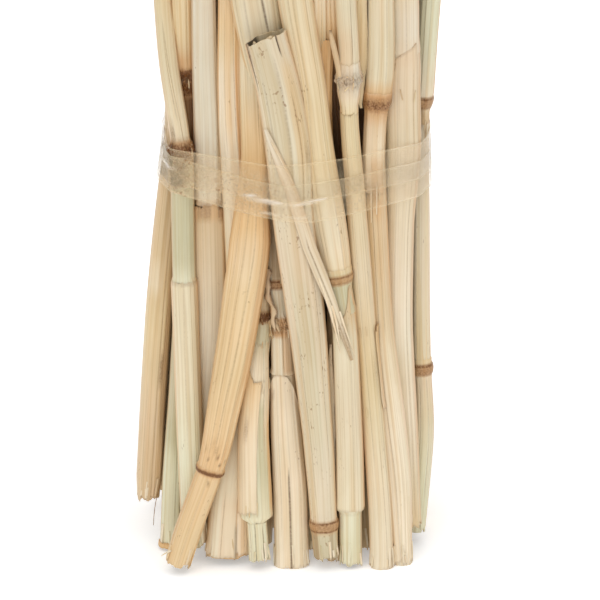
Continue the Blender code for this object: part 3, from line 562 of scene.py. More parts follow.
class Route:
    """The line that a CAD solid follows, with its half width and half thickness, in millimetres."""

    def __init__(self, name, moves=(), swell=0.0, broad=()):
        points = np.unique(np.round(mesh_points(frame["nodes"][name].data) / MM, 3), axis=0)
        level = np.round(points[:, 2], 2)
        heights, counts = np.unique(level, return_counts=True)
        full = heights[counts >= LEAST_RING]
        sides = int(np.bincount(counts[counts >= LEAST_RING]).argmax())
        slanted = points[~np.isin(level, full) & (level > full[-1])]
        top = slanted[:, 2].mean() if len(slanted) else full[-1]
        rows = []
        for height in full:
            ring = points[level == height]
            near_floor = min(abs(height - full[0] - BORE_DEPTH), abs(top - BORE_DEPTH - height)) < RING_NEAR
            if not near_floor or len(ring) != sides:
                rows.append(self.measure(height, ring, sides))
        if len(slanted):
            rows.append(self.measure(top, slanted, FRONT_SIDES))
        rows = np.array(rows)
        self.steps = rows[:, 0]
        self.foot, self.top = self.steps[0], self.steps[-1]
        self.height = np.linspace(self.foot, self.top, int((self.top - self.foot) / LINE_STEP) + 2)
        self.x, self.y, self.wide, self.thick = (
            eased(np.interp(self.height, self.steps, rows[:, k]), ease / LINE_STEP)
            for k, ease in ((1, LINE_EASE), (2, LINE_EASE), (3, WIDTH_EASE), (4, WIDTH_EASE)))
        self.up = np.zeros(len(self.height))
        self.round = FRONT_ROUND if swell else 1.0
        if moves:
            places, *moves = zip(*((*move, 0.0, 0.0)[:4] for move in moves))
            right, back, self.up = (eased(np.interp(self.height, places, values), MOVE_EASE)
                                    for values in moves)
            self.x, self.y = self.x + right, self.y + back
        self.wide, self.thick = self.wide + swell, self.thick + swell
        if broad:
            self.wide = self.wide + eased(np.interp(self.height, *zip(*broad)), MOVE_EASE)
        spacing = self.height[1] - self.height[0]
        self.lean_x, self.lean_y = np.gradient(self.x, spacing), np.gradient(self.y, spacing)

    @staticmethod
    def measure(height, ring, sides):
        """Returns a section's height, middle, half width and half thickness."""
        if sides == FRONT_SIDES:
            low, high = ring.min(axis=0), ring.max(axis=0)
            middle, half = 0.5 * (low + high), 0.5 * (high - low)
            return height, middle[0], middle[1], half[0], half[1]
        middle = ring.mean(axis=0)
        reach = np.sort(np.hypot(*(ring - middle)[:, :2].T))[-sides:].mean()
        return height, middle[0], middle[1], reach, reach

    def at(self, values, height):
        """Returns one of the route's measures at some heights."""
        return np.interp(height, self.height, values)

    def points(self, angle, height, out, scale=1.0, pinch=1.0):
        """Returns the points at angles round the reed and heights along it, in metres."""
        wide = self.at(self.wide, height) * scale + out
        thick = self.at(self.thick, height) * scale * pinch + out
        lean_x, lean_y = self.at(self.lean_x, height), self.at(self.lean_y, height)
        flat = np.clip(wide / np.maximum(thick, 0.1) - 1.0, 0.0, 1.0)
        power = self.round - FLAT_ROUND * flat
        across = wide * np.sign(np.sin(angle)) * np.abs(np.sin(angle)) ** power / (1.0 + lean_x ** 2)
        deep = -thick * np.sign(np.cos(angle)) * np.abs(np.cos(angle)) ** power / (1.0 + lean_y ** 2)
        rise = height + self.at(self.up, height) - lean_x * across - lean_y * deep
        placed = (self.at(self.x, height) + across, self.at(self.y, height) + deep, np.maximum(rise, 0.0))
        return np.stack(placed, axis=-1) * MM


def draws(name):
    """Returns the random draws of one piece, the same at each run."""
    return np.random.RandomState(sum((k + 1) * ord(letter) for k, letter in enumerate(name)) % 100003)


def rows_along(low, high, spots, coarse=COARSE_STEP, fine=FINE_STEP):
    """Returns an odd number of heights from low to high, closer together near the spots and both ends."""
    spots = np.array([low, high, *(spot for spot in spots if low < spot < high)])
    heights = [low]
    while heights[-1] < high - fine:
        nearest = np.abs(spots - heights[-1]).min()
        ahead = spots[spots > heights[-1] + 1e-6].min() - heights[-1]
        step = min(coarse, fine + ROW_EASE * max(0.0, nearest - FINE_REACH))
        heights.append(heights[-1] + max(fine, min(step, max(fine, 0.6 * ahead))))
    heights[-1] = high
    if len(heights) % 2 == 0:
        gap = int(np.argmax(np.diff(heights)))
        heights.insert(gap + 1, 0.5 * (heights[gap] + heights[gap + 1]))
    return np.array(heights)


def angles_round(start, end, columns, closer):
    """Returns angles from start to end, closer together at the front where closer is more than 0."""
    fine = np.linspace(start, end, 400)
    weight = np.cumsum(1.0 + closer * np.cos(fine))
    weight = (weight - weight[0]) / (weight[-1] - weight[0])
    return np.interp(np.linspace(0.0, 1.0, columns), weight, fine)


def snapped(angles, rows, lines):
    """Returns the angle of each column at each row, with the nearest column drawn onto each line, and the
    columns that were drawn onto the lines, or None."""
    grid = np.repeat(angles[None, :], len(rows), axis=0)
    taken = []
    for line in lines:
        middle = 0.5 * (line.angle_low + line.angle_high)
        turns = np.round((angles.mean() - middle) / (2 * pi))
        found = [2 * pi * k for k in (turns - 1, turns, turns + 1)
                 if angles[2] < middle + 2 * pi * k < angles[-3]]
        if not found:
            taken.append(None)
            continue
        shift = min(found, key=lambda shift: abs(middle + shift))
        column = int(np.argmin(np.abs(angles - middle - shift)))
        taken.append(column)
        wanted = shift + np.interp(rows, (line.low, line.high), (line.angle_low, line.angle_high))
        move = wanted - angles[column]
        for step in range(-4, 5):
            if 0 < column + step < len(angles) - 1:
                grid[:, column + step] += move * (1.0 - abs(step) / 5.0)
    return grid, taken


def soft_box(values, low, high, ease):
    """Returns 1 between low and high, falling softly to 0 outside."""
    return np.clip((values - low) / ease + 1.0, 0.0, 1.0) * np.clip((high - values) / ease + 1.0, 0.0, 1.0)


def bell(values, middle, width):
    """Returns a smooth hump of height 1."""
    return np.exp(-((values - middle) / width) ** 2)


def fading(distance, reach):
    """Returns 1 where the distance is 0, falling evenly to 0 at the reach."""
    return np.clip(1.0 - distance / reach, 0.0, 1.0)


def turned(angle):
    """Returns angles brought between half a turn left and right of the front."""
    return (angle + pi) % (2 * pi) - pi


def ribs(angle, height, random, size):
    """Returns the height of the lengthwise ribs and hollows of a surface."""
    total = np.zeros_like(angle + height)
    for wave in range(3, 17):
        strength = size * random.uniform(0.4, 1.0) / wave ** 0.35
        total += strength * np.cos(wave * angle + random.uniform(0.0, 2 * pi)
                                   + random.uniform(-0.02, 0.02) * height)
    return total


def torn(angle, random):
    """Returns a torn edge, of slanting lobes with steep sides and fine fibres, between about -1 and 1."""
    places, levels = [-4 * pi], [0.0]
    while places[-1] < 4 * pi:
        width = random.uniform(0.12, 0.75)
        level = random.uniform(-0.8, 0.8)
        places += [places[-1] + 0.04, places[-1] + width]
        levels += [level, level + random.uniform(-0.7, 0.7)]
    fibres = random.uniform(-0.35, 0.35, 420)
    spots = np.linspace(-4 * pi, 4 * pi, len(fibres))
    return np.interp(angle, places, levels) + np.interp(angle, spots, fibres)


def colour_of(colours, name):
    """Returns one of the reed's colours."""
    return np.array(getattr(colours, name)[:])


def colour_stops(colours, stops, height):
    """Returns the colours at some heights, between named stops."""
    places, names = zip(*stops)
    values = np.array([colour_of(colours, name) for name in names])
    return np.stack([np.interp(height, places, values[:, k]) for k in range(3)], axis=-1)


def blended(tint, colour, weight):
    """Returns a tint mixed with a colour."""
    weight = weight[..., None]
    return tint * (1.0 - weight) + colour * weight


def raise_marks(marks, layer, least):
    """Raises one layer of some marks to a least strength."""
    marks[..., layer] = np.maximum(marks[..., layer], least)


def painted(colours, stops, look, angle, height, random):
    """Returns the tint and the brown marks and the dark marks of painted shade of a surface."""
    tint = colour_stops(colours, stops, height)
    marks = np.zeros(angle.shape + (2,))
    around = turned(angle)
    for patch in look.patches:
        weight = soft_box(height, patch.low, patch.high, patch.ease) * patch.strength
        weight = weight * soft_box(around, patch.angle - patch.spread, patch.angle + patch.spread, 0.07)
        if patch.paint in ("brown", "dark"):
            raise_marks(marks, BROWN if patch.paint == "brown" else PAINTED_SHADE, weight)
        else:
            tint = blended(tint, colour_of(colours, patch.paint), weight)
    return tint * (1.0 + 0.05 * random.uniform(-1.0, 1.0)), marks


def crease(lines, taken, heights, out, marks):
    """Presses the creases and slits of a look into the columns that were drawn onto them."""
    for line, column in zip(lines, taken):
        if column is not None:
            weight = soft_box(heights, line.low, line.high, 4.0)
            out[:, column] -= line.depth * weight
            raise_marks(marks[:, column], BROWN, 0.8 * line.mark * weight)
            # A slit's opening is painted dark: painted shade
            raise_marks(marks[:, column], PAINTED_SHADE, max(0.0, line.mark - 0.55) * 1.6 * weight)


def node_reach(node):
    """Returns half the height of a node."""
    return node.reach or NODE_MARKS[node.kind][0]


def node_shape(node, angle, height, random):
    """Returns how far a node stands out, and how brown it is."""
    reach, brown = node_reach(node), NODE_MARKS[node.kind][1]
    near = bell(height, node.height, reach)
    whole = soft_box(height, node.height - reach, node.height + reach, 0.7)
    speck = random.uniform(0.0, 1.0, angle.shape)
    if node.kind == "band":
        rims = bell(height, node.height - reach, 0.55) + bell(height, node.height + reach, 0.65)
        out = node.bulge * bell(height, node.height, reach + 0.8)
        out = out + 0.12 * rims - 0.3 * bell(height, node.height + reach + 1.0, 0.7)
        return out, node.strength * np.maximum(0.85 * rims, (0.34 + 0.12 * speck) * whole)
    out = node.bulge * bell(height, node.height, max(1.6, 0.6 * reach))
    out = out - 0.35 * bell(height, node.height - 2.4, 1.0)
    marks = node.strength * brown * near
    if node.kind in ("crumb", "knob"):
        rough = random.normal(0.0, 0.32, angle.shape) * near
        out = out + rough
    if node.kind == "crumb":
        marks = marks * (0.65 + 0.7 * speck) + 0.3 * np.abs(rough)
    elif node.kind == "knob":
        marks = marks + 0.22 * (speck > 0.80) * near
    elif node.kind == "stipple":
        low = np.clip((node.height + reach - height) / (2.0 * reach), 0.0, 1.0)
        marks = node.strength * near * (0.35 + 0.35 * speck + 0.25 * low)
        out = out + 0.12 * speck * whole
    return out, marks


def deselect():
    """Leaves no object selected."""
    bpy.ops.object.select_all(action="DESELECT")


def select_where(thing, kind, test):
    """Selects the faces or the edges of a mesh that pass a test, and leaves it in edit mode."""
    bpy.ops.object.mode_set(mode="EDIT")
    bpy.ops.mesh.select_mode(type=kind)
    bpy.ops.mesh.select_all(action="DESELECT")
    bpy.ops.object.mode_set(mode="OBJECT")
    for part in thing.data.polygons if kind == "FACE" else thing.data.edges:
        part.select = test(part)
    bpy.ops.object.mode_set(mode="EDIT")


def write_surface(thing, points, place, tint, marks, veins):
    """Puts points on a mesh with the attributes that its material reads. The veins are their number
    round the reed, in hundreds, and their strength, and go with the marks."""
    mesh = thing.data
    mesh.vertices.foreach_set("co", np.ascontiguousarray(points, dtype=np.float32).ravel())
    if veins:
        marks = np.concatenate((marks, np.broadcast_to(veins, marks.shape[:-1] + (2,))), axis=-1)
    tint = np.concatenate((tint, np.ones(tint.shape[:-1] + (1,))), axis=-1)
    for name, kind, field, values in (("place", "FLOAT_VECTOR", "vector", place),
                                      ("tint", "FLOAT_COLOR", "color", tint),
                                      ("marks", "FLOAT_COLOR", "color", marks)):
        attribute = mesh.attributes.new(name, kind, "POINT")
        attribute.data.foreach_set(field, np.ascontiguousarray(values, dtype=np.float32).ravel())
    mesh.update()


def grid_sheet(name, points, place, tint, marks, veins, thick):
    """Makes a sheet from rows of points, and gives it its thickness, inwards."""
    rows, columns = points.shape[:2]
    deselect()
    bpy.ops.mesh.primitive_grid_add(x_subdivisions=columns - 1, y_subdivisions=rows - 1, size=1.0)
    sheet = bpy.context.object
    sheet.name = name
    start = mesh_points(sheet.data)
    column = np.rint((start[:, 0] + 0.5) * (columns - 1)).astype(int)
    row = np.rint((start[:, 1] + 0.5) * (rows - 1)).astype(int)
    write_surface(sheet, *(values[row, column] for values in (points, place, tint, marks)), veins)
    wall = sheet.modifiers.new("Wall", "SOLIDIFY")
    wall.thickness = thick
    wall.offset = -1.0
    wall.use_even_offset = False
    bpy.ops.object.modifier_apply(modifier="Wall")
    return sheet


def reed_place(angle, height, seed):
    """Returns the straightened place of each point on a reed, which its grain follows, in metres."""
    place = (GRAIN_RADIUS * np.sin(angle), -GRAIN_RADIUS * np.cos(angle), height + 0 * angle)
    return np.stack(place, axis=-1) * MM + np.array((0.0, 0.0, seed))


def vein_count(route):
    """Returns the number of parallel veins round a reed, in hundreds."""
    girth = 2 * pi * 0.5 * (route.wide.mean() + route.thick.mean())
    return round(girth / VEIN_SPACING) / 100.0


def culm_scale(route, look, height):
    """Returns how much slimmer the stalk is than the CAD reed where a full sheath wraps it."""
    scale = np.ones_like(height)
    for sheath in look.sheaths:
        if sheath.span < 2 * pi:
            continue
        keep_high, keep_low = (
            min(TUCKED, route.at(route.wide, end + step) / route.at(route.wide, end - step))
            for end, step in ((sheath.high, RIM_STEP), (sheath.low, -RIM_STEP)))
        if sheath.low < route.foot + 2.0:
            keep_low = keep_high
        within = (height > sheath.low + 0.2) & (height < sheath.high - 0.4)
        scale = np.where(within, np.interp(height, (sheath.low, sheath.high), (keep_low, keep_high)), scale)
    return scale


def plain_tube(name, columns, segments):
    """Makes a tube of radius and height 1 with hollowed ends, cut into rings all along."""
    deselect()
    bpy.ops.mesh.primitive_cylinder_add(vertices=columns, radius=1.0, depth=1.0, end_fill_type="NGON")
    tube = bpy.context.object
    tube.name = name
    select_where(tube, "FACE", lambda face: abs(face.normal.z) > 0.5)
    bpy.ops.mesh.inset(thickness=0.15, use_individual=True)
    bpy.ops.mesh.extrude_faces_move(TRANSFORM_OT_shrink_fatten={"value": -0.1})

    def upright(edge, least):
        a, b = (tube.data.vertices[k].co for k in edge.vertices)
        return abs(a.z - b.z) > least and abs(a.xy.length - 1.0) < 0.01

    for cuts, least in ((1, 0.9), (segments // 2 - 1, 0.4)):
        select_where(tube, "EDGE", lambda edge: upright(edge, least))
        bpy.ops.mesh.subdivide(number_cuts=cuts)
    bpy.ops.object.mode_set(mode="OBJECT")
    return tube


def make_stalk(name, route, look, columns, front, build, colours, seed, bore_foot=True):
    """Makes the hollow tube of a reed, with its nodes, creases and cut ends."""
    random = draws(name)
    spots = [node.height for node in look.nodes]
    spots += [end for sheath in look.sheaths if sheath.span > 2 * pi for end in (sheath.low, sheath.high)]
    heights = rows_along(route.foot, route.top, spots, fine=FINE_STEP if front else HIDDEN_STEP)
    segments = len(heights) - 1
    tube = plain_tube(name, columns, segments)
    start = mesh_points(tube.data)
    outside = np.hypot(start[:, 0], start[:, 1]) > 0.97
    column = np.rint(np.arctan2(start[:, 0], -start[:, 1]) / (2 * pi) * columns).astype(int) % columns
    row = np.rint((start[:, 2] + 0.5) * segments).astype(int)
    row = np.where(outside, row, np.where(start[:, 2] < 0.0, 0, segments))
    floor = ~outside & (np.abs(start[:, 2]) < 0.45)

    # Column 0 lies at the front, so the table of angles starts there and runs on past the back
    angles = angles_round(0.0, 2 * pi, columns + 1, FRONT_CLOSER if front else 0.0)
    shown = np.unique(np.round(turned(angles[:-1]), 9))
    grid, taken = snapped(shown, heights, look.lines)
    column = (column + int(np.argmin(np.abs(shown)))) % columns
    height = np.repeat(heights[:, None], columns, axis=1)
    out = ribs(grid, height, random, build.relief / MM)
    tint, marks = painted(colours, look.stalk, look, grid, height, random)
    for node in look.nodes:
        rise, brown = node_shape(node, grid, height, random)
        out = out + rise
        raise_marks(marks, BROWN, brown)
        if node.kind != "knob":
            reach = node_reach(node)
            warm = 0.8 * soft_box(height, node.height - reach, node.height + reach, 1.5)
            tint = blended(tint, colour_of(colours, "orange"), warm)
    crease(look.lines, taken, heights, out, marks)
    raise_marks(marks, BROWN, 0.12 * bell(height, route.foot, 0.7))
    scale = culm_scale(route, look, height)
    pinch = np.ones_like(height)
    if look.pinch:
        pinch = np.interp(height, (look.pinch[0], route.top), (1.0, look.pinch[1]))
    foot_edge = look.rag[0] * torn(grid, random) * fading(height - route.foot, FOOT_FRAY)
    top_edge = look.rag[1] * torn(grid, random) * fading(route.top - height, TOP_FRAY)
    top_edge = top_edge + look.slant * np.sin(grid) * fading(route.top - height, SLANT_REACH)
    placed = height + np.maximum(foot_edge, -0.4 * look.rag[0]) + top_edge

    angle = grid[row, column]
    wall = np.where(outside, 0.0, build.culm_wall / MM)
    level = placed[row, column]
    level = np.where(floor & (row > 0), level - BORE_DEPTH, level)
    level = np.where(floor & (row == 0), level + BORE_DEPTH if bore_foot else route.foot + 1.0, level)
    points = route.points(angle, level, out[row, column] - wall, scale[row, column], pinch[row, column])
    tint, marks = tint[row, column], marks[row, column]
    # Inside a cut stalk the pith is painted darker as painted shade, darkest at a hollow's floor, and a
    # pinched open top is darker still on its left inside
    tint[~outside] = colour_of(colours, "pith")
    marks[~outside, PAINTED_SHADE] = 0.25
    if look.pinch:
        marks[~outside & (np.sin(angle) < -0.25), PAINTED_SHADE] = 0.85
    marks[floor, PAINTED_SHADE] = 1.0
    write_surface(tube, points, reed_place(angle, level, seed), tint, marks, (vein_count(route), STALK_VEINS))
    return tube


def make_sheath(name, route, look, sheath, columns, front, build, colours, seed):
    """Makes one leaf sheath: a sheet rolled round the stalk, with torn or clean ends."""
    random = draws(name)
    seam = np.array(sheath.seam)
    spots = [node.height for node in look.nodes if sheath.low - 6 < node.height < sheath.high + 6]
    rows = rows_along(sheath.low, sheath.high, spots, fine=FINE_SHEATH_STEP if front else HIDDEN_SHEATH_STEP)
    columns = max(6, int(columns * min(1.15, 0.25 + sheath.span / (2 * pi))))
    middle = seam.mean()
    start, end = (middle - sheath.span, middle) if sheath.side > 0 else (middle, middle + sheath.span)
    angles = angles_round(start, end, columns, FRONT_CLOSER if front else 0.0)
    grid, taken = snapped(angles, rows, look.lines)
    drift = np.interp(rows, (sheath.low, sheath.high), seam - middle)[:, None]
    beside = (angles - start) / (end - start)
    to_edge, under = (beside, 1.0 - beside) if sheath.side > 0 else (1.0 - beside, beside)
    full = sheath.span > 2 * pi
    grid = grid + (drift * np.clip(to_edge * 3.0 - 2.0, 0.0, 1.0) if full else drift)
    uneven = 0.03 * torn(rows * 0.06, random)[:, None]
    grid[:, -1:] += uneven
    grid[:, :1] -= uneven
    height = np.repeat(rows[:, None], columns, axis=1)
    from_low, from_high = height - sheath.low, sheath.high - height
    top = sheath.rag[1] * torn(grid, random) + sheath.slant * np.sin(grid)
    for angle, spread, rise in sheath.crest:
        top = top + rise * bell(turned(grid), angle, spread)
    low = sheath.rag[0] * torn(grid, random)
    reach = 0.35 * (sheath.high - sheath.low)
    tallest = max((abs(rise) for _, _, rise in sheath.crest), default=0.0)
    placed = height + top * fading(from_high, min(reach, RIM_FRAY + abs(sheath.slant) + tallest))
    placed = placed + low * fading(from_low, min(reach, LOW_RIM_FRAY))
    out = sheath.out + ribs(grid, height, random, build.relief / MM)
    if full:
        out = out - build.overlap / MM * under
    out = out + sheath.lift[1] * fading(from_high, LIFT_REACH) ** 2
    out = out + sheath.lift[0] * fading(from_low, LIFT_REACH) ** 2
    if sheath.wave:
        out = out + sheath.wave * np.sin(0.55 * height + 4.0 * beside + random.uniform(0, 6))
    tint, marks = painted(colours, sheath.paint, look, grid, placed, random)
    crease(look.lines, taken, rows, out, marks)
    raise_marks(marks, BROWN, 0.25 * np.maximum(bell(from_low, 0.0, 0.7), bell(from_high, 0.0, 0.7)))
    raise_marks(marks[:, -1 if sheath.side > 0 else 0], BROWN, 0.3)
    return grid_sheet(name, route.points(grid, placed, out), reed_place(grid, placed, seed), tint, marks,
                      (vein_count(route), SHEATH_VEINS), build.sheath_wall)


def make_sliver(name, route, sliver, colours, seed):
    """Makes one thin strand or stub that stands off a reed."""
    leaf = sliver.rows > LEAF_ROWS
    steps = np.linspace(0.0, 1.0, sliver.rows)
    start, end = np.array(sliver.start), np.array(sliver.end)
    height, angle, out = (start + (end - start) * steps[:, None]).T
    tip, crown = (0.2, 0.2) if leaf else (1.0, 0.45)
    half = 0.5 * sliver.width * np.interp(steps, (0.0, 0.2, 0.75, 1.0), (tip, 1.0, 1.0, 0.3))
    half = half * (1.0 + 0.45 * sliver.curl * np.sin(31.0 * steps))
    swing = sliver.curl * (np.sin(12.0 * steps) + 0.5 * np.sin(21.0 * steps + 1.0))
    middle = route.points(angle, height, out + sliver.bow * np.sin(pi * steps)) / MM
    across = np.linspace(-1.0, 1.0, 5 if sliver.rows > BIT_ROWS else 3)
    face = angle if sliver.face is None else np.full(len(steps), sliver.face)
    tangent = np.stack((np.cos(face), np.sin(face), 0 * steps), axis=-1)
    outward = np.stack((np.sin(face), -np.cos(face), 0 * steps), axis=-1)
    uneven = 0.22 * torn(steps * 9.0, draws(name))
    points = np.empty((len(steps), len(across), 3))
    for k, beside in enumerate(across):
        side = half * beside + (uneven if leaf and abs(beside) > 0.9 else 0.0) + swing
        hump = crown * half * (1.0 - beside ** 2)
        points[:, k] = middle + tangent * side[:, None] + outward * hump[:, None]
    shape = points.shape[:2]
    tint = np.broadcast_to(colour_of(colours, sliver.paint), shape + (3,))
    marks = np.zeros(shape + (2,))
    marks[-1, :, BROWN] = 0.5
    if sliver.face is not None:
        marks[:, (0, -1), BROWN] = 0.9 if sliver.curl else 0.3
    if start[0] > end[0]:
        points, tint, marks = points[::-1], tint[::-1], marks[::-1]
    points = points * MM
    return grid_sheet(name, points, points + seed, tint, marks, SLIVER_VEINS, sliver.thick * MM)


def loose_bits(name, route, look, count):
    """Returns the fibres at a reed's foot and at its torn rims, and the crumbs round its rough nodes."""
    random = draws(name + " bits")
    bits = []

    def add(paints, start, end, width, bow=0.1):
        bits.append(Sliver(name, paints[random.randint(len(paints))], start, end, width, bow, 0.25, None, 6))

    for _ in range(count):
        angle = random.uniform(-1.4, 1.4)
        low = max(0.4, route.foot + random.uniform(-1.2, 0.8))
        paint = look.stalk[0][1]
        add((paint, paint, "pale"), (route.foot + random.uniform(4.0, 12.0), angle, 0.05),
            (low, angle + random.uniform(-0.12, 0.12), random.uniform(0.1, 0.8)), random.uniform(0.6, 1.5))
    for sheath in look.sheaths:
        rims = ((sheath.high, 1.0, sheath.rag[1], sheath.high < route.top - 20.0),
                (sheath.low, -1.0, sheath.rag[0], sheath.low > route.foot + 5.0))
        for rim, way, rag, free in rims:
            for _ in range(count - 2 if free and rag > 1.4 else 0):
                angle = random.uniform(-1.3, 1.3)
                add(("tan", "straw", "peach"),
                    (rim - way * random.uniform(3.0, 6.0), angle, sheath.out + 0.1),
                    (rim + way * random.uniform(0.3, 2.2), angle + random.uniform(-0.1, 0.1),
                     sheath.out + random.uniform(0.1, 0.7)), random.uniform(0.3, 0.8))
    for node in look.nodes:
        paints = ("tan", "cream", "straw") if node.kind == "knob" else ("umber", "shade", "tan")
        for _ in range(count + 2 if node.kind in ("crumb", "knob") and node.strength > 0.6 else 0):
            angle = random.uniform(-1.4, 1.4)
            start = node.height + random.uniform(-5.0, 3.0)
            end = node.height + random.uniform(-5.0, 5.0)
            add(paints, (start, angle, 0.1),
                (end, angle + random.uniform(-0.3, 0.3), random.uniform(0.2, 0.8)),
                random.uniform(0.4, 1.1), 0.2)
    return bits


def finish_piece(parts, name, material, replaced):
    """Joins the parts of a piece, gives it its material, hangs it under the root, hides the CAD node that it
    replaces, and shades it smooth.
    """
    deselect()
    for part in parts:
        part.select_set(True)
    bpy.context.view_layer.objects.active = parts[0]
    if len(parts) > 1:
        bpy.ops.object.join()
    piece = bpy.context.object
    bpy.ops.object.transform_apply(location=True, rotation=True, scale=True)
    bpy.ops.object.shade_smooth_by_angle(angle=SMOOTH_ANGLE)
    piece.name = name
    piece.data.name = name
    piece.data.materials.clear()
    piece.data.materials.append(material)
    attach(piece, "root")
    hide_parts(replaced)


# Materials

GRAIN_SOCKETS = ("Veins", "Fine", "Broad", "Flecks", "Clouds", "Warmth", "Crumbs", "Height")

# Each finish: the share of flecks, the strength of its broad streaks and of its fine grain, and its
# roughness where smooth and where grained
Finish = namedtuple("Finish", "flecks streaks grain smooth rough")
FINISHES = {
    "cream_reed": Finish(0.25, 0.75, 0.8, 0.42, 0.62),
    "yellow_reed": Finish(0.30, 0.9, 0.8, 0.40, 0.60),
    "green_reed": Finish(0.15, 0.55, 0.8, 0.36, 0.55),
    "white_reed": Finish(0.20, 0.55, 0.6, 0.40, 0.60),
    "grey_reed": Finish(0.60, 0.85, 0.9, 0.50, 0.70),
    "orange_reed": Finish(0.25, 0.9, 0.8, 0.45, 0.62),
}


def add_node(tree, kind, inputs=None, **settings):
    """Adds a shader node, sets it up, and fills or links its inputs."""
    node = tree.nodes.new(kind)
    for key, value in settings.items():
        setattr(node, key, value)
    fill(tree, node, inputs or {})
    return node


def fill(tree, node, inputs):
    """Fills or links the inputs of a shader node."""
    for key, value in inputs.items():
        if isinstance(value, bpy.types.NodeSocket):
            tree.links.new(value, node.inputs[key])
        else:
            node.inputs[key].default_value = value


def maths(tree, operation, a, b=0.0, clamp=False):
    """Adds a maths node and returns its result."""
    return add_node(tree, "ShaderNodeMath", {0: a, 1: b}, operation=operation, use_clamp=clamp).outputs[0]


def times(tree, a, b):
    """Adds a node that multiplies two values, and returns its result."""
    return maths(tree, "MULTIPLY", a, b)


def stepped(tree, value, low, high):
    """Returns a value brought smoothly from 0 at low to 1 at high."""
    return add_node(tree, "ShaderNodeMapRange", {"Value": value, "From Min": low, "From Max": high},
                    interpolation_type="SMOOTHSTEP").outputs["Result"]


def noise(tree, vector, scale, detail=2.0, rough=0.5):
    """Returns noise over a stretched place. The scale is in cells a metre, in x, y and z."""
    stretched = add_node(tree, "ShaderNodeVectorMath", {0: vector, 1: scale}, operation="MULTIPLY")
    return add_node(tree, "ShaderNodeTexNoise", {"Vector": stretched.outputs[0], "Scale": 1.0,
                                                 "Detail": detail, "Roughness": rough}).outputs["Fac"]


def mixed(tree, factor, first, second, blend="MIX"):
    """Mixes two colours, each a socket or a plain colour, and returns the result."""
    first, second = (value if isinstance(value, bpy.types.NodeSocket) else (*value, 1.0)
                     for value in (first, second))
    return add_node(tree, "ShaderNodeMix", {0: factor, 6: first, 7: second}, data_type="RGBA",
                    blend_type=blend).outputs[2]


def attribute(tree, name):
    """Adds a node that reads one of the mesh's attributes."""
    return add_node(tree, "ShaderNodeAttribute", attribute_name=name)


def bumped(tree, height, strength, distance):
    """Returns the normal of a surface raised by a height."""
    return add_node(tree, "ShaderNodeBump", {"Height": height, "Strength": strength,
                                             "Distance": distance}).outputs["Normal"]


def start_group(name, inputs, outputs):
    """Starts a shader node group that puts out values, and returns its tree and its two ends."""
    tree = bpy.data.node_groups.new(name, "ShaderNodeTree")
    for socket, kind in inputs:
        tree.interface.new_socket(socket, in_out="INPUT", socket_type="NodeSocket" + kind)
    for socket in outputs:
        tree.interface.new_socket(socket, in_out="OUTPUT", socket_type="NodeSocketFloat")
    return tree, tree.nodes.new("NodeGroupInput"), tree.nodes.new("NodeGroupOutput")


def start_material(name):
    """Starts a material, and returns it with its node tree and its main shader."""
    material = bpy.data.materials.new(name)
    material.use_nodes = True
    return material, material.node_tree, material.node_tree.nodes["Principled BSDF"]


def make_grain_group():
    """Builds the node group with the lengthwise grain, the streaks and the flecks of dried reed."""
    tree, inlet, outlet = start_group(
        "Reed Grain", (("Place", "Vector"), ("Fleck Share", "Float"), ("Vein Count", "Float")), GRAIN_SOCKETS)
    place = inlet.outputs["Place"]

    def grains(across, along, *detail):
        return noise(tree, place, (across, across, along), *detail)

    parts = add_node(tree, "ShaderNodeSeparateXYZ", {"Vector": place})
    around = maths(tree, "ARCTAN2", parts.outputs["X"], times(tree, parts.outputs["Y"], -1.0))
    wobble = grains(420.0, 7.0)
    phase = maths(tree, "ADD", times(tree, around, inlet.outputs["Vein Count"]), times(tree, wobble, 9.0))
    strong = stepped(tree, grains(420.0, 11.0, 3.0), 0.40, 0.66)
    veins = times(tree, stepped(tree, maths(tree, "COSINE", phase), 0.35, 0.98), strong)
    fine = stepped(tree, grains(1400.0, 9.0, 3.0, 0.65), 0.42, 0.66)
    broad = stepped(tree, grains(520.0, 5.0), 0.42, 0.70)
    clouds = stepped(tree, grains(110.0, 34.0, 3.0), 0.38, 0.68)
    warmth = grains(85.0, 16.0)
    crumbs = grains(1300.0, 1000.0, 3.0, 0.65)
    dashes = stepped(tree, grains(1600.0, 420.0, 1.0), 0.62, 0.72)
    sparse = grains(170.0, 60.0)
    limit = maths(tree, "SUBTRACT", 0.72, times(tree, inlet.outputs["Fleck Share"], 0.35))
    where = maths(tree, "MULTIPLY", maths(tree, "SUBTRACT", sparse, limit), 14.0, clamp=True)
    height = maths(tree, "SUBTRACT", times(tree, fine, 0.5), times(tree, veins, 0.5))
    results = (veins, fine, broad, times(tree, dashes, where), clouds, warmth, crumbs, height)
    fill(tree, outlet, dict(zip(GRAIN_SOCKETS, results)))
    return tree


def make_marks_group():
    """Builds the node group that breaks up the painted brown marks, and passes on the dark marks of painted
    shade.
    """
    tree, inlet, outlet = start_group("Reed Marks", (("Marks", "Color"), ("Crumbs", "Float")),
                                      ("Brown", "Dark"))
    parts = add_node(tree, "ShaderNodeSeparateColor", {"Color": inlet.outputs["Marks"]})
    rough = times(tree, maths(tree, "SUBTRACT", inlet.outputs["Crumbs"], 0.5), 2.4)
    spread = times(tree, rough, parts.outputs["Red"])
    brown = maths(tree, "ADD", parts.outputs["Red"], spread, clamp=True)
    fill(tree, outlet, {"Brown": times(tree, brown, 0.92), "Dark": parts.outputs["Green"]})
    return tree


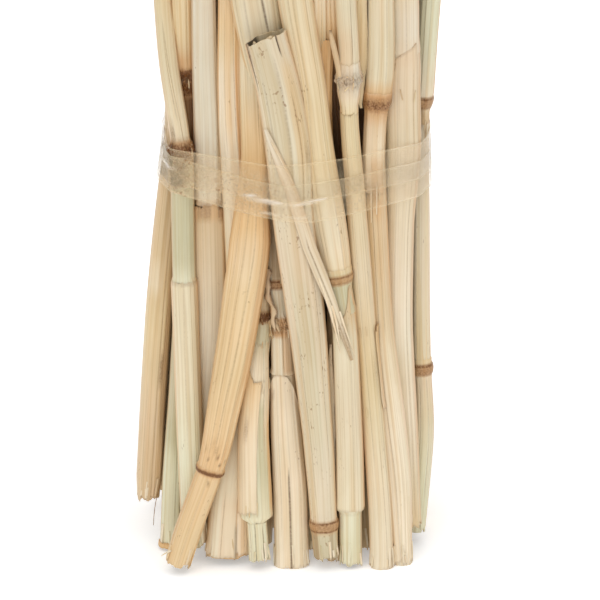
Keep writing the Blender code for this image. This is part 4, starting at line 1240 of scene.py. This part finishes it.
def make_reed_material(name, finish, colours, build):
    """Makes the material of one kind of dried reed. The marks attribute holds brown, dark for painted
    shade, and the number and the strength of the veins."""
    material, tree, shader = start_material(name)
    place = attribute(tree, "place").outputs["Vector"]
    tint = attribute(tree, "tint").outputs["Color"]
    painted_marks = attribute(tree, "marks")
    channels = add_node(tree, "ShaderNodeSeparateColor", {"Color": painted_marks.outputs["Color"]})
    grain = add_node(tree, "ShaderNodeGroup",
                     node_tree=bpy.data.node_groups.get("Reed Grain") or make_grain_group())
    fill(tree, grain, {"Place": place, "Fleck Share": finish.flecks,
                       "Vein Count": times(tree, channels.outputs["Blue"], 100.0)})
    marks = add_node(tree, "ShaderNodeGroup",
                     node_tree=bpy.data.node_groups.get("Reed Marks") or make_marks_group())
    fill(tree, marks, {"Marks": painted_marks.outputs["Color"], "Crumbs": grain.outputs["Crumbs"]})

    warmth = stepped(tree, grain.outputs["Warmth"], 0.35, 0.65)
    colour = mixed(tree, warmth, (0.985, 1.0, 0.985), (1.012, 0.985, 0.955))
    colour = mixed(tree, 1.0, tint, colour, "MULTIPLY")
    vein = times(tree, grain.outputs["Veins"], painted_marks.outputs["Alpha"])
    for value, strength, shade in (
            (grain.outputs["Broad"], finish.streaks * build.streaks, (0.90, 0.76, 0.58)),
            (grain.outputs["Fine"], finish.grain * build.grain, (0.84, 0.76, 0.64)),
            (vein, build.veins, (0.62, 0.50, 0.36)),
            (grain.outputs["Clouds"], 0.45, (0.89, 0.87, 0.80))):
        colour = mixed(tree, times(tree, value, strength), colour, shade, "MULTIPLY")
    colour = mixed(tree, times(tree, grain.outputs["Flecks"], 0.6), colour, colours.fleck)
    colour = mixed(tree, marks.outputs["Brown"], colour, colours.node_brown)
    colour = mixed(tree, marks.outputs["Dark"], colour, colours.gap_shade)
    rough = add_node(tree, "ShaderNodeMapRange", {"Value": grain.outputs["Height"], "To Min": finish.smooth,
                                                  "To Max": finish.rough})
    fill(tree, shader, {"Base Color": colour, "Roughness": rough.outputs["Result"],
                        "Normal": bumped(tree, grain.outputs["Height"], build.bump, 0.0002),
                        "Specular IOR Level": 0.35})
    return material


def make_tape_material(tape):
    """Makes the clear tape: a faint veil, with dust, white glints of painted highlight and edges where they
    are marked.
    """
    material, tree, shader = start_material("glossy_clear_tape")
    place = attribute(tree, "place").outputs["Vector"]
    marks = attribute(tree, "marks").outputs["Color"]
    dust, glints, edges = add_node(tree, "ShaderNodeSeparateColor", {"Color": marks}).outputs
    smear = stepped(tree, noise(tree, place, (170.0, 170.0, 240.0), 5.0, 0.75), 0.36, 0.68)
    crumbs = stepped(tree, noise(tree, place, (620.0, 620.0, 620.0), 4.0, 0.75), 0.53, 0.63)
    smear, crumbs = times(tree, smear, dust), times(tree, crumbs, dust)
    colour = mixed(tree, times(tree, smear, 0.5), tape.film, tape.dirt)
    colour = mixed(tree, crumbs, colour, tape.dirt)
    colour = mixed(tree, glints, colour, (1.0, 1.0, 1.0))
    facing = add_node(tree, "ShaderNodeLayerWeight", {"Blend": 0.35}).outputs["Facing"]
    alpha = maths(tree, "ADD", times(tree, maths(tree, "POWER", facing, 3.0), tape.rim), tape.veil)
    for value, strength in ((smear, 0.28), (crumbs, 0.45), (dust, 0.05), (glints, 0.8), (edges, 0.14)):
        alpha = maths(tree, "ADD", alpha, times(tree, value, strength), clamp=True)
    ripple = noise(tree, place, (260.0, 260.0, 60.0), 3.0)
    fill(tree, shader, {"Base Color": colour, "Alpha": alpha, "Normal": bumped(tree, ripple, 0.25, 0.0008),
                        "Roughness": 0.14, "IOR": 1.47})
    return material


def reed_material(context, slot):
    """Returns the material of a slot, made when it is first asked for."""
    name = "dry_" + slot
    return bpy.data.materials.get(name) or make_reed_material(
        name, FINISHES[slot], context.scene.reed_colours, context.scene.reed_build)


def seed_of(name):
    """Returns the offset that gives a reed its own grain, in metres."""
    return draws(name + " grain").uniform(-3.0, 3.0)


def dress_reed(context, name, look, columns, front=False, bore_foot=True):
    """Builds one reed in place of its CAD node. Without bore_foot, its foot isn't hollowed and no loose bits
    are added."""
    colours, build = context.scene.reed_colours, context.scene.reed_build
    route = Route(name, look.moves, build.swell / MM if front else 0.0, look.broad)
    seed = seed_of(name)
    parts = [make_stalk(name + "_stalk", route, look, columns, front, build, colours, seed, bore_foot)]
    for index, sheath in enumerate(look.sheaths):
        sheath = sheath._replace(high=min(sheath.high, route.top - 1.0))
        parts.append(make_sheath(f"{name}_sheath_{index}", route, look, sheath, int(SHEATH_COLUMNS * columns),
                                 front, build, colours, seed + 0.7 * (index + 1)))
    bits = loose_bits(name, route, look, 5 if front else 3) if bore_foot else []
    for index, sliver in enumerate([s for s in SLIVERS if s.node == name] + bits):
        parts.append(make_sliver(f"{name}_sliver_{index}", route, sliver, colours, seed))
    finish_piece(parts, "dried_" + name, reed_material(context, SLOTS[name]), name)


# The reeds that the photo hides: colours to choose from, by the slot of each, and the height of the top
HIDDEN_PAINTS = {
    "cream_reed": ("cream", "grey", "peach", "straw"), "yellow_reed": ("straw", "yellow", "amber", "cream"),
    "green_reed": ("green", "moss", "mint", "cream"), "white_reed": ("white", "pale", "grey", "cream"),
    "grey_reed": ("grey", "moss", "tan", "grey"), "orange_reed": ("orange", "pink", "tan", "amber"),
}
BUNCH_TOP = 420.0

# Three back reeds whose feet lie under the leftmost front reed are set higher there, and one of them is
# drawn in above the tape
BACK_MOVES = {
    "reed_back_13": ((0, 2, 0, 12), (60, 1, 0, 5), (160, 0)),
    "reed_back_14": ((2, 3, 0, 16), (60, 2, 0, 6), (160, 0), (192, 2.0), (235, 2.8), (290, 0)),
    "reed_back_15": ((7, 3, 1, 16), (60, 2, 0, 6), (160, 0)),
}


def hidden_look(name, route):
    """Returns the look of a reed that the photo hides, drawn from its own random numbers."""
    random = draws(name + " look")
    main, second, third, fourth = HIDDEN_PAINTS[SLOTS[name]]
    back = name.startswith("reed_back")
    node = route.steps[1] + 2.0
    rim = route.steps[3] if back else random.uniform(250.0, 360.0)
    outward = np.arctan2(route.x.mean(), -route.y.mean())
    seam = outward + random.uniform(-1.0, 1.0)
    nodes = [Node(node, ("band", "line", "crumb", "band")[random.randint(4)], 0.4, random.uniform(0.8, 1.4))]
    sheaths, lines, patches = [], [], []
    if back:
        stops = ((0.0, fourth), (node, second), (rim, main), (0.5 * (rim + BUNCH_TOP), third),
                 (BUNCH_TOP, main))
        sheaths.append(Sheath(node + 1.5, rim, (seam, seam + random.uniform(-0.3, 0.3)), 1, FULL,
                              ((node, main), (0.5 * (node + rim), second), (rim, main)),
                              rag=(0.3, random.uniform(0.3, 3.0)), lift=(-0.1, 0.25)))
        if random.uniform() > 0.4:
            low = route.foot + 0.4
            sheaths.append(Sheath(low, node - random.uniform(8.0, 26.0), (seam + 1.0, seam + 1.2), -1,
                                  FULL, ((low, third), (node, fourth)), rag=(1.6, 1.6), out=0.25))
        higher = random.uniform(rim + 25.0, 395.0)
        nodes.append(Node(higher, ("band", "line", "knob")[random.randint(3)], 0.5, random.uniform(0.8, 1.3)))
        for _ in range(3):
            low = random.uniform(10.0, 300.0)
            angle = outward + random.uniform(-1.2, 1.2)
            lines.append(Line(low, low + random.uniform(40.0, 110.0), angle, angle + 0.1, 0.15, 0.35))
        for _ in range(4):
            low = random.uniform(10.0, 380.0)
            patches.append(Patch("brown", low, low + random.uniform(1.0, 5.0),
                                 turned(outward + random.uniform(-1.2, 1.2)), 0.1, 0.6, 1.5))
    else:
        # An inner reed is painted shade along the length that lies deep in the bunch, and keeps its own
        # colours at its foot and top
        stops = ((0.0, fourth), (18.0, "tan"), (50.0, "shade"), (365.0, "shade"), (395.0, second),
                 (BUNCH_TOP, main))
    return Look(stops, sheaths, nodes, lines, patches, rag=(1.2, 1.0), slant=random.uniform(-1.2, 1.2),
                moves=BACK_MOVES.get(name, ()))


def dress_front(context, names):
    """Builds some of the reeds that show in front."""
    for name in names:
        dress_reed(context, name, FRONT_LOOKS[name], FRONT_COLUMNS, front=True)


def dress_hidden(context, starts, columns, bore_foot):
    """Builds the reeds whose names start so, which the photo hides."""
    for name in sorted(frame["nodes"]):
        if name.startswith(starts):
            dress_reed(context, name, hidden_look(name, Route(name)), columns, bore_foot=bore_foot)


class REEDS_OT_front_left(bpy.types.Operator):
    """Builds the reeds in the left half of the front"""
    bl_idname = "reeds.front_left"
    bl_label = "Front reeds, left"

    def execute(self, context):
        dress_front(context, list(FRONT_LOOKS)[:8])
        return {"FINISHED"}


class REEDS_OT_front_right(bpy.types.Operator):
    """Builds the reeds in the right half of the front"""
    bl_idname = "reeds.front_right"
    bl_label = "Front reeds, right"

    def execute(self, context):
        dress_front(context, list(FRONT_LOOKS)[8:])
        return {"FINISHED"}


class REEDS_OT_back(bpy.types.Operator):
    """Builds the reeds of the sides and the back"""
    bl_idname = "reeds.back"
    bl_label = "Side and back reeds"

    def execute(self, context):
        dress_hidden(context, "reed_back", BACK_COLUMNS, True)
        return {"FINISHED"}


class REEDS_OT_inner(bpy.types.Operator):
    """Builds the reeds inside the bunch, which show at their tops and in the gaps"""
    bl_idname = "reeds.inner"
    bl_label = "Inner reeds"

    def execute(self, context):
        dress_hidden(context, ("reed_inner", "reed_core", "reed_heart"), INNER_COLUMNS, False)
        return {"FINISHED"}


# The loose strip of sheath on the front: its columns, the one along its brown fold, how far it curls, how
# much wider than its CAD solid it is, its thickness, the colours along it, how far its middle moves to the
# side at some heights, and its splinters as (upper end, lower end, side of the strip, drift, width)
STRIP_COLUMNS = 12
STRIP_FOLD = 5
STRIP_CURL = 0.9
STRIP_BROAD = 1.3
STRIP_WALL = 0.35
STRIP_STOPS = ((108, "tan"), (125, "grey"), (200, "grey"), (222, "white"))
STRIP_MOVES = ((108, 165, 195), (0, -1.5, 1.0))
SPLINTERS = ((150.0, 112.0, -1.1, -3.2, 1.5), (136.0, 118.0, -0.7, -2.0, 1.2),
             (133.0, 111.0, 0.9, 1.4, 1.1), (216.0, 196.0, 1.15, 0.6, 0.8))
SPLINTER_WALL = 0.25


class REEDS_OT_loose_sheath(bpy.types.Operator):
    """Builds the loose strip of leaf sheath that is caught under the tape"""
    bl_idname = "reeds.loose_sheath"
    bl_label = "Loose sheath"

    def execute(self, context):
        name = "loose_sheath"
        route = Route(name)
        colours = context.scene.reed_colours
        rows = rows_along(route.foot, route.top, (), coarse=2.5)
        beside = np.linspace(-1.0, 1.0, STRIP_COLUMNS)
        height = np.repeat(rows[:, None], STRIP_COLUMNS, axis=1)
        wide = route.at(route.wide, height) * STRIP_BROAD
        ragged = 0.35 * torn(rows * 0.12, draws(name))[:, None] * np.sign(beside) * np.abs(beside) ** 6
        x = route.at(route.x, height) + wide * beside + ragged + np.interp(height, *STRIP_MOVES)
        curl = STRIP_CURL * np.clip(wide / 3.6, 0.0, 1.0)
        y = route.at(route.y, height) - 0.1 - curl * (1.0 - np.abs(beside) ** 2.2) + 0.25
        y = y + 0.12 * np.cos(5.0 * beside + 0.05 * height)
        z = height - route.at(route.lean_x, height) * wide * beside
        marks = np.zeros(height.shape + (2,))
        # The strip's edges are painted brown, partly its own torn rims and partly painted shade along them
        marks[:, 0, BROWN] = 0.45
        marks[:, -1, BROWN] = 0.35
        marks[:, STRIP_FOLD, BROWN] = 0.5 * soft_box(rows, 120, 165, 6.0)
        raise_marks(marks, BROWN, 0.35 * soft_box(height, 105, 122, 8.0))
        place = np.stack((wide * beside, 0 * height, height), axis=-1) * MM + seed_of(name)
        parts = [grid_sheet(name + "_strip", np.stack((x, y, z), axis=-1) * MM, place,
                            colour_stops(colours, STRIP_STOPS, height), marks, STRIP_VEINS, STRIP_WALL * MM)]
        for index, splinter in enumerate(SPLINTERS):
            parts.append(self.splinter(f"splinter_{index}", route, colours, *splinter))
        finish_piece(parts, "dried_loose_sheath", reed_material(context, SLOTS[name]), name)
        return {"FINISHED"}

    def splinter(self, name, route, colours, high, low, side, drift, width):
        """Makes a thin splinter at the strip's lower end or along its edge."""
        steps = np.linspace(0.0, 1.0, 12)[:, None]
        across = np.linspace(-1.0, 1.0, 4)
        height = high + (low - high) * steps
        middle = route.at(route.x, height) + side * route.at(route.wide, height) + drift * steps ** 1.5
        x = middle + 0.5 * width * (1.0 - 0.8 * steps ** 2) * across
        y = route.at(route.y, height) - 0.35 - 0.15 * (1.0 - across ** 2)
        z = np.repeat(height, len(across), axis=1)
        points = np.stack((x, y, z), axis=-1)[::-1] * MM
        marks = np.zeros(points.shape[:2] + (2,))
        marks[:, 0, BROWN] = 0.6
        tint = np.broadcast_to(colour_of(colours, "peach"), points.shape)
        return grid_sheet(name, points, points + 0.3, tint, marks, SLIVER_VEINS, SPLINTER_WALL * MM)


# The tape: the turn at which its CAD strip starts and the turns and heights that it winds through, its steps
# a turn, its rows, how far it rises outwards with each turn, and its ripples as (height, waves a turn,
# slant). Then the levels at which the bunch is measured for it, how far above and below them, how far off
# the reeds, and at how many points round each. A place round the bunch is a turn from +X towards +Y, as on
# the CAD strip.
TAPE_START_TURN = 0.50
TAPE_HEIGHTS = ((0.0, 197.0), (0.25, 196.5), (0.5, 199.0), (0.62, 201.0), (0.75, 199.0), (1.0, 195.5),
                (1.25, 187.0), (1.5, 190.5), (1.75, 193.0), (2.1, 193.5))
TAPE_STEPS = 110
TAPE_ROWS = 15
TAPE_LAYER = 0.20
TAPE_RIPPLES = ((0.10, 9.0, 3.0), (0.06, 31.0, -5.0))
TAPE_LEVELS = (176.0, 186.0, 196.0, 206.0, 214.0)
LEVEL_STEPS = (-3.0, 0.0, 3.0)
LEVEL_OFF = 0.55
LEVEL_POINTS = 48

# Glints on the front of the tape, painted white as highlights along its creases: middle across, height,
# half length, rise to the right, thickness, strength
GLINTS = (
    (-13.5, 188.3, 4.5, -0.13, 0.45, 0.9), (-5.0, 187.2, 2.5, -0.12, 0.3, 0.6),
    (1.0, 186.6, 2.5, -0.05, 0.25, 0.4), (11.5, 187.5, 3.5, 0.05, 0.4, 0.9),
    (5.0, 187.0, 2.0, 0.0, 0.25, 0.5), (-2.0, 181.0, 9.0, -0.03, 0.4, 0.35),
    (9.0, 177.0, 4.0, 0.0, 0.3, 0.6), (-55.0, 196.0, 1.2, 0.2, 0.6, 0.6),
    (-8.0, 186.0, 16.0, -0.08, 0.25, 0.35),
)

# Dust under the front of the tape: the left and right end and their softness, the low and high edge and
# their softness, strength
DUST = ((-62.0, -46.0, 6.0, 178.0, 206.0, 5.0, 0.42), (-48.0, -33.0, 6.0, 178.0, 206.0, 5.0, 0.38),
        (-33.0, -12.0, 12.0, 176.0, 198.0, 5.0, 0.45), (24.0, 34.0, 5.0, 180.0, 196.0, 5.0, 0.25))


def tape_height(wound):
    """Returns the height of the tape's middle after a number of turns, eased between the readings."""
    turns, heights = (np.array(values) for values in zip(*TAPE_HEIGHTS))
    index = np.clip(np.searchsorted(turns, wound, side="right") - 1, 0, len(turns) - 2)
    part = (wound - turns[index]) / (turns[index + 1] - turns[index])
    return heights[index] + (0.5 - 0.5 * np.cos(pi * part)) * (heights[index + 1] - heights[index])


def hull(points):
    """Returns the corners of the tightest loop round some points, anticlockwise."""
    points = sorted(map(tuple, points))
    loops = []
    for run in (points, points[::-1]):
        chain = []
        for point in run:
            while len(chain) > 1:
                (ax, ay), (bx, by) = chain[-2:]
                if (bx - ax) * (point[1] - ay) - (by - ay) * (point[0] - ax) > 0:
                    break
                chain.pop()
            chain.append(point)
        loops += chain[:-1]
    return np.array(loops)


class REEDS_OT_tape(bpy.types.Operator):
    """Winds the clear tape round the reeds"""
    bl_idname = "reeds.tape"
    bl_label = "Clear tape"

    def execute(self, context):
        tape = context.scene.tape_look
        wound = np.arange(int(TAPE_HEIGHTS[-1][0] * TAPE_STEPS) + 1) / TAPE_STEPS
        turn = TAPE_START_TURN + wound
        beside = np.linspace(-1.0, 1.0, TAPE_ROWS)[:, None]
        height = tape_height(wound) + 0.5 * tape.width / MM * beside
        x, y = self.round_bunch(turn, height, context.scene.reed_build.swell / MM, tape.clear / MM)
        out = TAPE_LAYER * wound + sum(rise * np.sin(2 * pi * waves * wound + slant * beside)
                                       for rise, waves, slant in TAPE_RIPPLES)
        away = 2 * pi * turn
        points = np.stack((x + out * np.cos(away), y + out * np.sin(away), height), axis=-1) * MM
        sheet = grid_sheet("tape_film", points, points, np.ones(points.shape),
                           self.marked(x, y, beside, height), None, tape.thick)
        finish_piece([sheet], "clear_tape_winding", make_tape_material(tape), "tape")
        return {"FINISHED"}

    def round_bunch(self, turn, height, swell, clear):
        """Returns the tape's places round the dressed reeds, at some turns and heights."""
        routes = []
        for name in frame["nodes"]:
            if name in FRONT_LOOKS:
                routes.append(Route(name, FRONT_LOOKS[name].moves, swell, FRONT_LOOKS[name].broad))
            elif name != "tape":
                routes.append(Route(name, BACK_MOVES.get(name, ())))
        angle = np.linspace(0.0, 2 * pi, LEVEL_POINTS, endpoint=False)
        loops = []
        for level in TAPE_LEVELS:
            near = [route.points(angle, np.full_like(angle, level + step), LEVEL_OFF)[:, :2] / MM
                    for route in routes for step in LEVEL_STEPS]
            loops.append(hull(np.concatenate(near)))
        centre = np.mean([0.5 * (corners.min(axis=0) + corners.max(axis=0)) for corners in loops], axis=0)
        rings = []
        for corners in loops:
            turns = (np.arctan2(*(corners - centre)[:, ::-1].T) / (2 * pi)) % 1.0
            order = np.argsort(turns)
            corners, turns = corners[order], turns[order]
            turns = np.concatenate((turns[-1:] - 1.0, turns, turns[:1] + 1.0))
            corners = np.vstack((corners[-1:], corners, corners[:1]))
            rings.append([np.interp(turn % 1.0, turns, corners[:, k]) for k in (0, 1)])
        rings = np.array(rings)
        step = np.clip(np.interp(height, TAPE_LEVELS, np.arange(len(TAPE_LEVELS))),
                       0.0, len(TAPE_LEVELS) - 1.001)
        below, column = step.astype(int), np.arange(len(turn))
        share_up = step - below
        x, y = (rings[below, k, column] * (1.0 - share_up) + rings[below + 1, k, column] * share_up
                for k in (0, 1))
        away = np.hypot(x - centre[0], y - centre[1])
        return x + clear * (x - centre[0]) / away, y + clear * (y - centre[1]) / away

    def marked(self, x, y, beside, height):
        """Returns the marks of the film: dust in red, white glints of painted highlight in green and the
        film's edges in blue.
        """
        front = y < 0.0
        # A crinkle in the film is painted as a dark line in the dust: painted shade of the fold
        crinkle = x + 0.5 * np.sin(1.3 * height) + 31.0
        dust = bell(crinkle, 0.0, 0.5) * soft_box(height, 183.0, 203.0, 2.0)
        areas = [strength * soft_box(x, left, right, ease) * soft_box(height, low, high, ease_up)
                 for left, right, ease, low, high, ease_up, strength in DUST]
        # The first two areas add up where they overlap
        for area in (areas[0] + areas[1], *areas[2:]):
            dust = np.maximum(dust, area)
        # The right end, where the film turns away, is painted milky white: a painted reflection
        glint = 0.2 * soft_box(x, 50.0, 80.0, 8.0)
        for centre_x, centre_z, half, rise, thick, strength in GLINTS:
            glint = np.maximum(glint, strength * soft_box(x, centre_x - half, centre_x + half, 2.5)
                               * bell(height, centre_z + rise * (x - centre_x), thick))
        edges = np.broadcast_to(np.abs(beside) > 0.99, dust.shape)
        return np.stack((dust * front, glint * front, edges, np.ones_like(dust)), axis=-1)


# The stage: the point that the camera and the lights face, the camera's sensor, the floor's size and its
# faint glow, and the lights as (setting, place, spread in degrees)
AIM = (0.0053, 0.0022, 0.1169)
SENSOR = 36.0
FLOOR_SIZE = 12.0
FLOOR_GLOW = 0.32
LIGHTS = (("key", (-1.0, -1.9, 1.5), 50.0), ("fill", (1.6, -1.5, 0.9), 70.0),
          ("top", (0.1, -0.2, 2.4), 80.0))
WHITE = (1.0, 1.0, 1.0, 1.0)


class REEDS_OT_stage(bpy.types.Operator):
    """Adds the floor, the lights and the camera"""
    bl_idname = "reeds.stage"
    bl_label = "Stage"

    def execute(self, context):
        look = context.scene.stage_look
        deselect()
        bpy.ops.mesh.primitive_plane_add(size=FLOOR_SIZE)
        floor = context.object
        floor.name = "floor"
        material, tree, shader = start_material("floor_paper")
        paper = noise(tree, add_node(tree, "ShaderNodeTexCoord").outputs["Object"], (40.0, 40.0, 40.0), 3.0)
        fill(tree, shader, {"Base Color": mixed(tree, times(tree, paper, 0.02), look.floor, (0.9, 0.9, 0.9)),
                            "Roughness": 0.9, "Specular IOR Level": 0.1,
                            "Emission Color": (*look.floor, 1.0), "Emission Strength": FLOOR_GLOW})
        floor.data.materials.append(material)
        for setting, place, spread in LIGHTS:
            self.light(setting + "_light", place, spread, getattr(look, setting))
        world = bpy.data.worlds.new("studio")
        context.scene.world = world
        world.use_nodes = True
        fill(world.node_tree, world.node_tree.nodes["Background"], {"Color": WHITE, "Strength": look.sky})
        self.camera(context, look)
        context.scene.view_settings.view_transform = "Standard"
        return {"FINISHED"}

    def light(self, name, place, spread, strength):
        """Adds one far, soft light that faces the bunch."""
        deselect()
        bpy.ops.object.light_add(type="SUN", location=place)
        light = bpy.context.object
        light.name = name
        light.data.energy = strength
        light.data.angle = radians(spread)
        x, y, z = np.array(AIM) - np.array(place)
        light.rotation_euler = (np.arctan2(np.hypot(x, y), -z), 0.0, np.arctan2(-x, y))

    def camera(self, context, look):
        """Adds the camera at the photograph's angle."""
        away = look.distance
        place = (AIM[0], AIM[1] - away * cos(look.elevation), AIM[2] + away * sin(look.elevation))
        bpy.ops.object.camera_add(location=place, rotation=(0.5 * pi - look.elevation, 0.0, 0.0))
        camera = context.object
        camera.name = "camera"
        camera.data.sensor_width = SENSOR
        camera.data.lens = SENSOR * away / look.view_width
        context.scene.camera = camera


STEPS = (REEDS_OT_front_left, REEDS_OT_front_right, REEDS_OT_back, REEDS_OT_inner, REEDS_OT_loose_sheath,
         REEDS_OT_tape, REEDS_OT_stage)
GROUPS = (("reed_colours", ReedColours), ("reed_build", ReedBuild), ("tape_look", TapeLook),
          ("stage_look", StageLook))


class REEDS_PT_panel(bpy.types.Panel):
    """Lists the pieces of the bunch and their settings"""
    bl_label = "Bunch of Reeds"
    bl_idname = "REEDS_PT_panel"
    bl_space_type = "VIEW_3D"
    bl_region_type = "UI"
    bl_category = "Reeds"

    def draw(self, context):
        for step in STEPS:
            self.layout.operator(step.bl_idname)
        for name, group in GROUPS:
            box = self.layout.box()
            for setting in group.__annotations__:
                box.prop(getattr(context.scene, name), setting)


def register():
    """Registers the settings, the operators and the panel."""
    for name, group in GROUPS:
        bpy.utils.register_class(group)
        setattr(bpy.types.Scene, name, bpy.props.PointerProperty(type=group))
    for step in STEPS + (REEDS_PT_panel,):
        bpy.utils.register_class(step)


def unregister():
    """Takes away what register added."""
    for step in (REEDS_PT_panel,) + STEPS[::-1]:
        bpy.utils.unregister_class(step)
    for name, group in GROUPS[::-1]:
        delattr(bpy.types.Scene, name)
        bpy.utils.unregister_class(group)


def main():
    """Builds every piece."""
    register()
    bpy.ops.reeds.front_left()
    bpy.ops.reeds.front_right()
    bpy.ops.reeds.back()
    bpy.ops.reeds.inner()
    bpy.ops.reeds.loose_sheath()
    bpy.ops.reeds.tape()
    bpy.ops.reeds.stage()
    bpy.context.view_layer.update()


if __name__ == "__main__":
    main()
